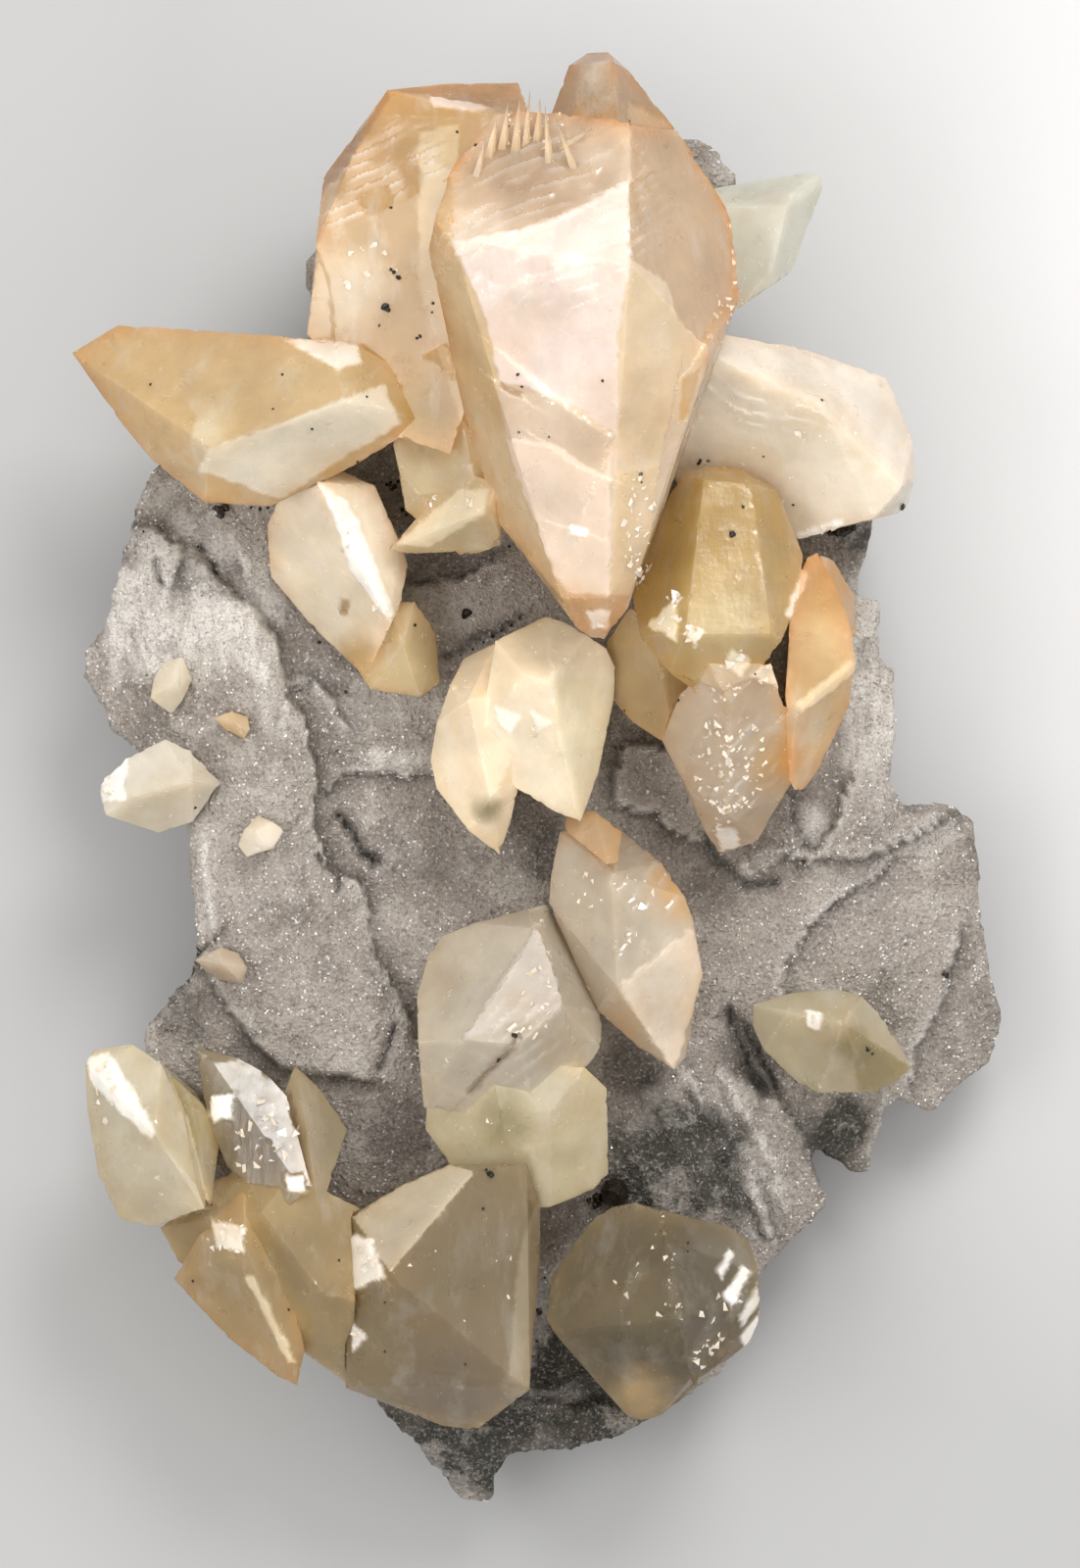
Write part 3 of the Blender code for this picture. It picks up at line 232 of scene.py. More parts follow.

# Facets tinted lighter or darker, partly their own tone and partly painted light and shade, painted glints,
# and stains, all with sharp edges
AREAS = {
    "crown_group": (
        # The main crystal's facets, each tinted lighter or darker, partly as painted light and shade
        Area(
            (
                (430, 150), (470, 140), (465, 263), (492, 323), (503, 360), (518, 456), (524, 480),
                (550, 548), (591, 646), (570, 640), (500, 520), (460, 400), (430, 300),
            ),
            (1.0, 0.75, 0.42), 0.5,
        ),
        Area(
            (
                (465, 263), (559, 244), (638, 205), (640, 318), (628, 352), (628, 454), (585, 426),
                (540, 404), (512, 401), (503, 360), (492, 323),
            ),
            (1.0, 0.83, 0.74), 0.72, 0.25,
        ),
        Area(
            (
                (518, 456), (560, 462), (613, 494), (620, 470), (620, 613), (600, 640), (567, 595),
                (524, 480),
            ),
            (1.0, 0.80, 0.62), 0.66, 0.2,
        ),
        Area(
            (
                (641, 120), (705, 150), (760, 230), (760, 330), (718, 366), (690, 341), (676, 302),
                (641, 280),
            ),
            (0.80, 0.56, 0.31), 0.5, -0.3,
        ),
        Area(
            (
                (641, 280), (676, 302), (690, 341), (718, 366), (700, 440), (680, 440), (671, 481),
                (640, 500), (628, 456), (628, 352),
            ),
            (0.96, 0.76, 0.50), 0.6,
        ),
        Area(
            ((628, 490), (671, 481), (660, 560), (640, 611), (620, 613), (624, 540)),
            (1.0, 0.76, 0.46), 0.6, 0.2,
        ),
        Area(((711, 384), (700, 430), (690, 442), (694, 400)), (0.95, 0.60, 0.24), 0.5),
        Area(((579, 611), (640, 611), (632, 640), (614, 656), (595, 650)), (0.95, 0.58, 0.30), 0.5),
        # A small painted glint
        Area(((597, 625), (621, 627), (618, 646), (604, 644)), (1.0, 0.95, 0.9), 0.9, 0.2),
        Area(((326, 215), (334, 190), (381, 131), (398, 105), (402, 112), (352, 190)), (0.6, 0.33, 0.14), 0.4),
        Area(((398, 104), (530, 95), (531, 125), (525, 138), (499, 123), (439, 111)), (0.72, 0.36, 0.10), 0.4),
        Area(((439, 111), (499, 123), (492, 128), (444, 122)), (0.95, 0.78, 0.68), 0.7, 0.3),
        Area(
            (
                (356, 415), (395, 400), (412, 440), (360, 470), (290, 515), (208, 485), (220, 465),
            ),
            (1.0, 0.93, 0.76), 0.66,
        ),
        Area(((291, 352), (368, 360), (373, 378), (349, 386)), (1.0, 0.95, 0.84), 0.75, 0.3),
        Area(
            ((80, 340), (184, 361), (191, 402), (208, 436), (201, 456), (208, 485), (120, 420)),
            (0.92, 0.66, 0.33), 0.5,
        ),
        Area(((405, 560), (440, 530), (470, 505), (500, 505), (495, 530), (440, 562)), (1.0, 0.86, 0.6), 0.7),
        Area(((511, 399), (534, 412), (532, 418), (513, 406)), (0.55, 0.36, 0.20), 0.5, -0.3),
        # A small painted glint
        Area(((583, 544), (599, 546), (597, 553), (581, 550)), (1.0, 1.0, 0.97), 0.95, 0.3),
        Area(((586, 72), (620, 72), (624, 140), (588, 141)), (0.30, 0.24, 0.16), 0.6),
    ),
    "leaning_crystal": (
        # A painted highlight down the bright narrow facet
        Area(
            ((326, 497), (358, 516), (369, 537), (406, 630), (396, 634), (361, 584), (341, 525)),
            (1.0, 0.99, 0.95), 0.95, 0.3,
        ),
        Area(((350, 612), (360, 616), (358, 630), (349, 628)), (0.70, 0.46, 0.20), 0.5),
    ),
    "golden_group": (
        # Painted glints: two bright triangles, a diamond, a small glint, a white edge strip, a bright
        # fracture, and a white window on the clear tip
        Area(((688, 612), (658, 642), (688, 658)), (1.0, 0.90, 0.66), 0.9, 0.4),
        Area(((761, 691), (792, 673), (792, 705)), (1.0, 0.90, 0.68), 0.9, 0.4),
        Area(((742, 664), (762, 675), (752, 694), (737, 680)), (1.0, 0.92, 0.72), 0.85, 0.3),
        Area(((694, 643), (713, 650), (705, 664)), (1.0, 0.95, 0.82), 0.9, 0.3),
        Area(((795, 632), (813, 586), (819, 590), (801, 636)), (1.0, 0.93, 0.80), 0.9, 0.3),
        Area(((863, 675), (867, 686), (812, 729), (807, 720)), (1.0, 0.80, 0.50), 0.8, 0.3),
        Area(((728, 843), (748, 845), (753, 864), (734, 868)), (1.0, 0.97, 0.9), 0.9, 0.2),
    ),
    "centre_twin": (
        # Two white ripples, painted glints
        Area(((505, 722), (530, 732), (522, 750), (511, 742)), (1.0, 0.97, 0.86), 0.9, 0.3),
        Area(((541, 727), (563, 738), (547, 748)), (1.0, 0.97, 0.86), 0.9, 0.3),
        Area(((563, 696), (640, 690), (626, 760), (586, 826), (563, 753)), (1.0, 0.88, 0.62), 0.75),
    ),
    "lower_kite": (
        Area(((705, 943), (716, 991), (686, 1090), (629, 1004)), (1.0, 0.85, 0.68), 0.7, 0.2),
    ),
    "silver_kite": (
        Area(((547, 944), (575, 1021), (471, 1058)), (0.74, 0.66, 0.58), 0.6, 0.3),
        Area(((530, 1049), (535, 1056), (482, 1114), (477, 1107)), (0.42, 0.34, 0.24), 0.5, -0.4),
    ),
    "bottom_block": (
        Area(((399, 1396), (436, 1388), (475, 1402), (543, 1404), (499, 1450), (430, 1440)),
             (0.36, 0.28, 0.19), 0.4, -0.2),
        Area(((553, 1215), (545, 1410), (520, 1400), (526, 1300), (535, 1250)),
             (0.60, 0.49, 0.32), 0.4),
        # Painted reflections: a bright one where two faces meet, and a small one
        Area(((361, 1253), (382, 1258), (395, 1294), (360, 1312)), (1.0, 0.99, 0.95), 0.95, 0.3),
        Area(((361, 1338), (377, 1358), (362, 1372)), (1.0, 0.97, 0.9), 0.9, 0.3),
    ),
    "olive_crystal": (
        Area(((677, 1262), (765, 1290), (770, 1330), (735, 1385), (706, 1398), (692, 1347)),
             (0.33, 0.27, 0.18), 0.3, 0.3),
        # Pale and white bands down the right side, painted glints
        Area(((728, 1290), (741, 1268), (748, 1273), (733, 1300)), (0.9, 0.89, 0.86), 0.9, 0.3),
        Area(((736, 1314), (757, 1284), (763, 1291), (743, 1328)), (1.0, 1.0, 0.98), 0.95, 0.3),
        Area(((748, 1334), (768, 1304), (771, 1320), (753, 1344)), (0.85, 0.84, 0.80), 0.9, 0.3),
        Area(((750, 1354), (771, 1330), (770, 1348), (757, 1374)), (1.0, 1.0, 0.98), 0.95, 0.3),
    ),
    "foot_group": (
        # A white stripe down the blade, a painted highlight
        Area(((93, 1077), (118, 1070), (167, 1150), (160, 1156), (99, 1102)), (1.0, 0.98, 0.92), 0.9, 0.2),
        Area(((217, 1113), (300, 1110), (321, 1200), (300, 1211), (240, 1172)), (0.28, 0.22, 0.15), 0.4),
        # Two small painted glints
        Area(((219, 1116), (243, 1112), (241, 1137), (222, 1140)), (1.0, 0.98, 0.94), 0.95, 0.4),
        Area(((294, 1193), (314, 1195), (316, 1211), (298, 1209)), (1.0, 0.98, 0.94), 0.95, 0.4),
        Area(((219, 1239), (254, 1245), (254, 1271), (225, 1266)), (0.94, 0.86, 0.72), 0.8, 0.3),
        Area(((255, 1294), (263, 1294), (305, 1381), (297, 1383)), (0.95, 0.82, 0.56), 0.7, 0.3),
    ),
    "edge_egg": (
        # A near-white painted highlight over the left face
        Area(((108, 794), (136, 772), (132, 799), (134, 816), (110, 817)), (1.0, 1.0, 0.97), 0.95),
    ),
    "right_pebble": (
        # A small painted glint
        Area(((818, 1028), (836, 1032), (833, 1048), (821, 1045)), (1.0, 0.99, 0.95), 0.9, 0.3),
        Area(((861, 1040), (930, 1090), (900, 1115), (872, 1110)), (0.56, 0.48, 0.26), 0.4),
    ),
    "grey_arm": (
        Area(
            (
                (719, 371), (832, 422), (876, 461), (913, 503), (935, 470), (900, 395), (820, 360),
                (735, 345),
            ),
            (1.0, 0.88, 0.74), 0.7,
        ),
        # A painted glint line
        Area(((810, 549), (854, 534), (856, 540), (811, 556)), (1.0, 1.0, 0.97), 0.95, 0.4),
    ),
}

# Each node's calcite name, which is not used, and the colour and strength, per metre, of what it absorbs
BODIES = {
    "crown_group": ("peach_calcite", (1.0, 0.78, 0.50), 18.0),
    "golden_group": ("honey_calcite", (1.0, 0.78, 0.42), 22.0),
    "leaning_crystal": ("honey_calcite", (1.0, 0.84, 0.62), 12.0),
    "grey_arm": ("pale_calcite", (1.0, 0.88, 0.74), 10.0),
    "pale_spur": ("pale_calcite", (0.95, 1.0, 0.82), 12.0),
    "centre_twin": ("cream_calcite", (1.0, 0.85, 0.62), 12.0),
    "bottom_block": ("cream_calcite", (0.86, 0.76, 0.52), 40.0),
    "silver_kite": ("cream_calcite", (1.0, 0.92, 0.76), 12.0),
    "lower_kite": ("peach_calcite", (1.0, 0.82, 0.60), 16.0),
    "olive_crystal": ("pale_calcite", (0.80, 0.72, 0.50), 60.0),
    "foot_group": ("cream_calcite", (0.92, 0.80, 0.50), 30.0),
    "edge_egg": ("pale_calcite", (1.0, 0.95, 0.84), 10.0),
    "small_bipyramid": ("cream_calcite", (1.0, 0.94, 0.80), 12.0),
    "tiny_block": ("cream_calcite", (1.0, 0.92, 0.78), 12.0),
    "amber_stub": ("honey_calcite", (1.0, 0.78, 0.46), 40.0),
    "edge_stub": ("honey_calcite", (1.0, 0.84, 0.60), 30.0),
    "right_pebble": ("pale_calcite", (0.96, 0.92, 0.62), 30.0),
}

# Growth steps and cleavage steps on the crystals
CRYSTAL_STEPS = {
    "crown_group": (
        Step(((619, 468), (624, 455), (585, 429), (563, 414), (537, 392)), 1.1, 0.5, 6),
        Step(((613, 494), (590, 484), (567, 468)), 0.5, 0.4, 4),
        Step(((481, 273), (520, 262), (559, 245), (637, 206)), 0.9, 0.6, 5),
        Step(((640, 262), (585, 283), (540, 300)), 0.5, 0.5, 5),
        Step(((532, 415), (511, 401)), 0.7, 0.3, 2.5),
        Step(((750, 300), (738, 325), (722, 351)), 1.2, 0.6, 5),
        Step(((671, 481), (680, 440), (689, 393)), 0.7, 0.5, 4),
        Step(((598, 551), (576, 544)), 0.6, 0.4, 2.5),
        Step(((318, 240), (340, 300), (345, 350)), 0.7, 0.7, 7),
    ),
    "golden_group": (
        Step(((863, 677), (836, 700), (808, 723)), 0.9, 0.4, 5),
        Step(((817, 650), (842, 642), (867, 655)), 0.5, 0.6, 4),
        Step(((714, 700), (735, 708), (756, 697)), 0.8, 0.4, 4),
    ),
    "silver_kite": (
        Step(((547, 946), (515, 1000), (473, 1056)), 0.9, 0.3, 7),
        Step(((573, 1021), (562, 985), (547, 946)), 0.9, 0.3, 7),
        Step(((479, 1110), (505, 1082), (531, 1052)), 0.8, 0.4, 5),
    ),
    "centre_twin": (Step(((563, 696), (567, 753), (586, 824)), 0.5, 0.6, 8),),
    "olive_crystal": (
        Step(((677, 1262), (692, 1347), (706, 1398)), 1.0, 0.4, 8),
        Step(((764, 1300), (745, 1330), (742, 1360)), 0.8, 0.4, 5),
    ),
    "foot_group": (
        Step(((219, 1239), (254, 1262), (254, 1290)), 0.6, 0.5, 5),
        Step(((177, 1239), (195, 1235), (212, 1229)), 0.6, 0.4, 3),
    ),
    "bottom_block": (Step(((394, 1294), (381, 1259), (362, 1255)), 0.7, 0.4, 5),),
}

ROCK_STEPS = (
    Step(
        (
            (416, 1036), (400, 1000), (380, 963), (376, 925), (366, 898), (345, 893), (336, 872),
            (325, 851), (322, 820), (325, 791), (315, 746), (296, 705), (283, 647), (235, 600),
        ),
        2.4,
        0.6,
        9,
    ),
    Step(((340, 802), (353, 790), (380, 786), (410, 791), (446, 786)), 1.5, 0.7, 10),
    Step(
        ((195, 985), (203, 976), (220, 1000), (237, 1026), (262, 1062), (287, 1085), (380, 1100)),
        2.4,
        0.6,
        8,
    ),
    Step(
        (
            (624, 800), (628, 820), (645, 828), (664, 828), (690, 852), (716, 856), (722, 836),
            (704, 796), (682, 768), (652, 755), (632, 768), (624, 800),
        ),
        2.0,
        0.5,
        5,
    ),
    Step(((503, 572), (482, 588), (452, 594), (414, 602)), 1.6, 0.6, 8),
    Step(((180, 600), (190, 560), (160, 540), (140, 540)), 1.6, 0.8, 8),
    Step(
        ((790, 878), (800, 870), (822, 880), (848, 872), (866, 878), (905, 866), (960, 835)),
        1.8,
        0.8,
        9,
    ),
    Step(((795, 1015), (800, 985), (820, 950), (855, 915), (900, 886)), 1.4, 1.0, 12),
    Step(((926, 1100), (932, 1070), (960, 1020), (975, 960)), 1.2, 1.0, 8),
    Step(((790, 1262), (775, 1215), (740, 1160), (703, 1093)), 1.6, 0.9, 8),
    Step(((840, 1190), (812, 1150), (790, 1120), (760, 1100)), 1.8, 0.7, 7),
    Step(((560, 1420), (600, 1405), (650, 1425)), 1.5, 0.8, 7),
    Step(((355, 740), (330, 700), (300, 690)), 1.0, 0.8, 8),
    Step(((862, 800), (850, 840), (826, 872), (808, 846), (802, 815)), 1.6, 0.6, 6),
)

ROCK_LINES = (
    Line(((180, 550), (200, 540), (229, 523)), 1.3, 0.9),
    Line(((163, 574), (170, 607)), -1.0, 0.6),
    Line(((198, 560), (212, 585), (225, 602)), 1.2, 0.6),
    Line(((206, 558), (220, 583), (235, 606)), -1.0, 0.5),
    Line(((240, 550), (262, 600), (290, 640)), 0.8, 1.0),
    Line(((297, 709), (308, 704), (321, 695)), -1.2, 0.5),
    Line(((349, 832), (358, 845), (372, 866), (384, 879)), -2.4, 0.9),
    Line(((401, 1047), (395, 1070), (388, 1089)), -2.2, 0.8),
    Line(((328, 870), (345, 893), (346, 905)), -1.6, 0.7),
    Line(((742, 1032), (752, 1060), (765, 1090), (778, 1112)), -3.0, 1.0),
    Line(((756, 1040), (775, 1075), (793, 1109)), -2.6, 0.8),
    Line(((735, 1090), (755, 1130), (785, 1180), (800, 1235)), 1.2, 1.2),
    Line(((700, 1110), (725, 1160), (755, 1215), (780, 1262)), -1.2, 1.0),
    Line(((660, 1110), (690, 1165), (720, 1220)), 0.9, 1.2),
    Line(((775, 1195), (790, 1222), (812, 1205)), 1.0, 0.5),
    Line(((790, 1222), (782, 1250), (760, 1262)), 1.0, 0.5),
    Line(((752, 885), (770, 872), (800, 866)), 1.0, 0.8),
    Line(((720, 860), (735, 880), (760, 900), (790, 900)), -1.4, 1.2),
    Line(((838, 1140), (842, 1165), (824, 1180)), 1.2, 0.5),
    Line(((900, 1110), (892, 1150), (888, 1190)), 1.4, 0.9),
    Line(((210, 850), (214, 900), (222, 945)), 1.3, 1.0),
    Line(((455, 672), (485, 655), (532, 631)), -1.0, 0.7),
    Line(((533, 1420), (580, 1428), (640, 1418)), -1.4, 0.9),
)


class Spot(NamedTuple):
    """A paler or darker patch on the rock: a pixel, its half width and half height in pixels, how far
    it is turned anticlockwise in degrees, and its strength."""

    place: tuple
    across: float
    along: float
    turn: float
    strength: float


PALE_ROCK = (
    Spot((165, 620), 110, 90, 0, 1.0),
    Spot((225, 580), 85, 40, -40, 0.6),
    Spot((262, 665), 60, 30, -55, 0.75),
    Spot((290, 730), 30, 22, -70, 0.6),
    Spot((395, 775), 60, 16, 0, 0.55),
    Spot((400, 715), 60, 34, 0, 0.35),
    Spot((890, 660), 60, 130, 0, 1.0),
    Spot((890, 760), 40, 60, 0, 0.6),
    Spot((826, 838), 22, 30, 0, 0.85),
    Spot((945, 850), 50, 22, 15, 0.4),
    Spot((640, 740), 20, 26, 0, 0.5),
    Spot((280, 880), 70, 100, 0, 0.1),
    Spot((215, 900), 10, 70, 0, 0.5),
    Spot((480, 620), 60, 30, 15, 0.3),
    Spot((750, 1170), 16, 90, 25, 0.45),
    Spot((738, 180), 22, 24, 0, 0.3),
    Spot((758, 892), 14, 10, 0, 0.8),
)
DARK_ROCK = (
    Spot((178, 512), 44, 38, 0, 0.2),
    Spot((470, 850), 110, 60, 10, 0.2),
    Spot((430, 1010), 60, 60, 0, 0.15),
    Spot((430, 1150), 110, 50, 0, 0.4),
    Spot((190, 1030), 46, 44, 0, 0.55),
    Spot((560, 870), 40, 40, 0, 0.6),
    Spot((690, 1190), 85, 110, 25, 0.95),
    Spot((640, 1090), 30, 40, 0, 0.6),
    Spot((850, 1160), 50, 50, 0, 0.95),
    Spot((770, 1080), 36, 50, 20, 0.6),
    Spot((580, 1370), 110, 90, 0, 1.0),
    Spot((480, 1470), 150, 110, 0, 1.0),
    Spot((720, 900), 40, 50, 0, 0.3),
    Spot((610, 1440), 120, 50, 10, 1.0),
    Spot((500, 1560), 60, 60, 0, 1.0),
    Spot((1000, 1040), 24, 60, 0, 0.3),
    Spot((640, 1250), 60, 40, 0, 0.5),
    Spot((450, 575), 50, 16, 10, 0.45),
    Spot((870, 552), 24, 14, 0, 0.7),
)

# Black grains: a pixel each, and how wide in pixels
BLACK_GRAINS = (
    (229, 523, 13), (259, 521, 5), (268, 522, 5), (276, 521, 5), (476, 628, 12), (328, 657, 5),
    (355, 707, 5), (471, 670, 4), (483, 664, 4), (494, 657, 5), (503, 651, 5), (512, 645, 4),
    (522, 640, 5), (530, 633, 4), (857, 545, 15), (846, 547, 8), (867, 541, 7), (917, 520, 7),
    (962, 993, 7), (636, 726, 4), (398, 497, 6), (404, 500, 7), (408, 494, 5), (412, 524, 6),
    (416, 528, 5), (404, 287, 6), (410, 294, 6), (396, 322, 10), (402, 223, 4), (431, 352, 5),
    (390, 341, 4), (160, 399, 4), (293, 390, 4), (284, 425, 4), (323, 445, 4), (378, 413, 4),
    (368, 477, 4), (468, 148, 4), (487, 164, 5), (444, 319, 4), (443, 328, 4), (428, 354, 4),
    (711, 477, 6), (720, 476, 4), (775, 472, 4), (805, 520, 4), (744, 550, 8), (754, 523, 5),
    (833, 416, 4), (525, 1052, 7), (510, 1077, 6), (502, 1192, 8), (497, 1188, 5),
    (494, 1227, 4), (395, 1321, 4), (395, 1371, 4), (476, 1384, 4), (550, 1334, 7),
    (556, 1300, 5), (548, 1365, 5), (203, 824, 5), (220, 1224, 4), (298, 1329, 4),
    (349, 1279, 4), (201, 1301, 4), (882, 1067, 6), (886, 1072, 4), (690, 716, 4),
    (766, 690, 4), (700, 1270, 4), (600, 1222, 6), (607, 1226, 7), (651, 492, 5), (652, 500, 4),
    (529, 393, 5), (533, 405, 4), (613, 400, 4), (530, 450, 4), (560, 455, 3), (700, 1262, 4),
    (622, 1210, 24), (610, 1222, 14), (660, 1225, 7), (150, 545, 4), (205, 560, 4), (425, 640, 4), (520, 560, 4), (640, 140, 3), (520, 145, 3),
)


class Flakes(NamedTuple):
    """Cleavage cracks inside a crystal: the middle of their zone and its half width and half
    height, in pixels, how many, their size in pixels, and how deep they lie, in mm."""

    place: tuple
    across: float
    along: float
    count: int
    size: float
    depth: float


class Feather(NamedTuple):
    """Feathery cleavage steps on a crystal: the middle of their zone, its half width and half
    height, in pixels, the direction of the steps in degrees, and their pitch and height, in
    mm."""

    place: tuple
    across: float
    along: float
    turn: float
    pitch: float
    height: float


FEATHERS = {
    "main": Feather((550, 226), 140, 115, 29, 2.6, 0.6),
    "tan": Feather((405, 225), 85, 100, 24, 2.3, 0.4),
    "grey": Feather((790, 400), 90, 55, -28, 2.4, 0.3),
    "clear_tip": Feather((745, 780), 50, 70, 60, 2.4, 0.35),
    "kite": Feather((650, 930), 60, 90, 50, 3.0, 0.25),
    "silver": Feather((530, 1040), 60, 70, 50, 2.6, 0.15),
}

FLAKES = (
    Flakes((650, 545), 16, 58, 80, 8, 0.5),
    Flakes((612, 636), 9, 5, 5, 12, 0.4),
    Flakes((565, 414), 12, 10, 9, 7, 0.4),
    Flakes((587, 547), 10, 4, 4, 9, 0.4),
    Flakes((545, 150), 42, 22, 40, 7, 0.8),
    Flakes((680, 625), 14, 22, 14, 14, 0.6),
    Flakes((703, 653), 9, 9, 6, 9, 0.8),
    Flakes((751, 680), 11, 15, 10, 12, 0.8),
    Flakes((780, 690), 18, 12, 8, 13, 0.6),
    Flakes((735, 708), 22, 10, 22, 7, 0.8),
    Flakes((742, 778), 36, 52, 130, 9, 0.6),
    Flakes((735, 845), 14, 14, 14, 8, 1.0),
    Flakes((540, 1020), 26, 38, 26, 11, 0.8),
    Flakes((560, 985), 12, 22, 10, 10, 0.8),
    Flakes((510, 1150), 20, 14, 10, 10, 0.8),
    Flakes((728, 1345), 18, 30, 14, 14, 0.6),
    Flakes((715, 1370), 12, 16, 10, 12, 0.6),
    Flakes((268, 1150), 46, 42, 44, 12, 1.0),
    Flakes((236, 1256), 20, 18, 26, 9, 0.6),
    Flakes((375, 1275), 12, 26, 10, 14, 0.5),
    Flakes((369, 1355), 7, 10, 5, 10, 0.5),
    Flakes((112, 1110), 12, 34, 16, 12, 0.6),
    Flakes((165, 1205), 8, 16, 8, 9, 0.8),
    Flakes((118, 798), 10, 14, 10, 11, 0.4),
    Flakes((355, 545), 6, 26, 8, 12, 0.5),
    Flakes((390, 625), 8, 14, 10, 9, 0.5),
    Flakes((465, 520), 34, 12, 18, 9, 0.6),
    Flakes((827, 1037), 7, 9, 6, 10, 0.4),
    Flakes((650, 930), 20, 34, 16, 10, 1.4),
    Flakes((600, 910), 14, 22, 12, 9, 1.2),
    Flakes((535, 745), 24, 22, 14, 9, 0.6),
    Flakes((370, 288), 40, 30, 24, 8, 0.8),
    Flakes((735, 330), 12, 22, 16, 8, 0.6),
    Flakes((840, 440), 50, 24, 22, 8, 0.8),
    Flakes((832, 545), 20, 5, 8, 9, 0.5),
    Flakes((660, 1300), 40, 50, 16, 9, 3.0),
    Flakes((470, 1290), 60, 60, 16, 8, 3.0),
)

# Splinters of the main crystal's broken top, each from its foot to its tip, in pixels, with
# its width in pixels and how far its tip stands out, in mm
SPLINTERS = (
    ((500, 176), (508, 138), 15, 3.0),
    ((514, 168), (519, 122), 13, 4.0),
    ((526, 172), (531, 116), 13, 5.0),
    ((536, 165), (541, 110), 11, 6.0),
    ((548, 160), (551, 118), 13, 5.0),
    ((560, 182), (556, 126), 12, 4.0),
    ((585, 190), (566, 138), 10, 4.0),
    ((572, 168), (604, 148), 12, 2.5),
    ((488, 196), (496, 160), 12, 2.0),
)


class Nodes:
    """Short ways to add and join a material's nodes."""

    def __init__(self, name):
        self.material = bpy.data.materials.new(name)
        self.material.use_nodes = True
        self.tree = self.material.node_tree
        self.shader = self.tree.nodes["Principled BSDF"]
        self.output = self.tree.nodes["Material Output"]

    def add(self, kind, values=(), **settings):
        node = self.tree.nodes.new(kind)
        for key, value in settings.items():
            setattr(node, key, value)
        for key, value in dict(values).items():
            self.put(node.inputs[key], value)
        return node

    def put(self, socket, value):
        if isinstance(value, bpy.types.NodeSocket):
            self.tree.links.new(value, socket)
        elif isinstance(value, tuple) and len(value) == 3 and socket.type == "RGBA":
            socket.default_value = (*value, 1)
        else:
            socket.default_value = value

    def set(self, **values):
        for key, value in values.items():
            self.put(self.shader.inputs[key.replace("_", " ")], value)

    def place(self):
        return self.add("ShaderNodeTexCoord").outputs["Object"]

    def stretched(self, scale, rotation=(0.0, 0.0, 0.0)):
        values = {"Vector": self.place(), "Scale": scale, "Rotation": rotation}
        return self.add("ShaderNodeMapping", values).outputs["Vector"]

    def noise(self, scale, detail=4.0, roughness=0.55, vector=None):
        values = {"Scale": scale, "Detail": detail, "Roughness": roughness}
        values["Vector"] = vector or self.place()
        return self.add("ShaderNodeTexNoise", values).outputs["Fac"]

    def ramp(self, value, low, high, to_low=0.0, to_high=1.0):
        values = {
            "Value": value,
            "From Min": low,
            "From Max": high,
            "To Min": to_low,
            "To Max": to_high,
        }
        return self.add("ShaderNodeMapRange", values).outputs["Result"]

    def math(self, operation, a, b):
        node = self.add("ShaderNodeMath", operation=operation)
        self.put(node.inputs[0], a)
        self.put(node.inputs[1], b)
        return node.outputs[0]

    def mix(self, share, a, b):
        node = self.add("ShaderNodeMix", data_type="RGBA")
        self.put(node.inputs["Factor"], share)
        self.put(node.inputs[6], a)
        self.put(node.inputs[7], b)
        return node.outputs[2]

    def attribute(self, name, output="Fac"):
        return self.add("ShaderNodeAttribute", attribute_name=name).outputs[output]

    def bump(self, height, distance, strength=1.0, normal=None):
        values = {"Height": height, "Distance": distance, "Strength": strength}
        if normal is not None:
            values["Normal"] = normal
        return self.add("ShaderNodeBump", values).outputs["Normal"]


def crystal_material(name, absorbed, density):
    """Clear to cloudy calcite. Its tint, warm edges and cloudiness are painted by rule. The tint carries
    painted highlights and glints, and some facets tinted lighter or darker, partly as painted light and shade.
    """
    make = Nodes(name)
    warm = make.math(
        "MULTIPLY", make.attribute("warm"), make.ramp(make.noise(110.0), 0.35, 0.65, 0.5, 1.3)
    )
    colour = make.mix(warm, make.attribute("tint", "Color"), make.attribute("edge_tint", "Color"))
    deep = make.mix(0.5, colour, (0.66, 0.40, 0.14))
    colour = make.mix(make.ramp(make.noise(48.0, 5.0, 0.6), 0.46, 0.70, 0.0, 0.7), colour, deep)
    veil = make.noise(120.0, 6.0, 0.66, make.stretched((1.0, 0.35, 1.0), (0.3, 0.2, 0.7)))
    colour = make.mix(make.ramp(veil, 0.52, 0.72, 0.0, 0.4), colour, (1.0, 0.93, 0.80))
    dust = make.ramp(make.noise(900.0, 2.0, 0.5), 0.66, 0.80, 0.0, 0.35)
    colour = make.mix(dust, colour, (0.62, 0.46, 0.28))
    cloud = make.attribute("cloud")
    haze = make.math("MULTIPLY", cloud, make.ramp(make.noise(75.0, 5.0), 0.3, 0.7, 0.85, 1.15))
    rough = make.ramp(make.noise(240.0, 5.0, 0.65), 0.35, 0.65, 0.05, 0.28)
    lines = make.noise(700.0, 3.0, 0.5, make.stretched((1.0, 0.12, 1.0), (0.0, 0.0, -0.5)))
    normal = make.bump(lines, 0.00010, 0.5)
    normal = make.bump(make.noise(260.0, 5.0, 0.6), 0.0005, 0.25, normal)
    make.set(Base_Color=colour, Roughness=rough, Normal=normal, IOR=1.58)
    make.set(Transmission_Weight=make.math("SUBTRACT", 1.0, haze))
    make.set(Subsurface_Weight=1.0, Subsurface_Radius=SCATTER, Subsurface_Scale=5 * MM)
    make.shader.subsurface_method = "BURLEY"
    volume = make.add("ShaderNodeVolumeAbsorption", {"Color": absorbed, "Density": density})
    make.put(make.output.inputs["Volume"], volume.outputs["Volume"])
    return make.material


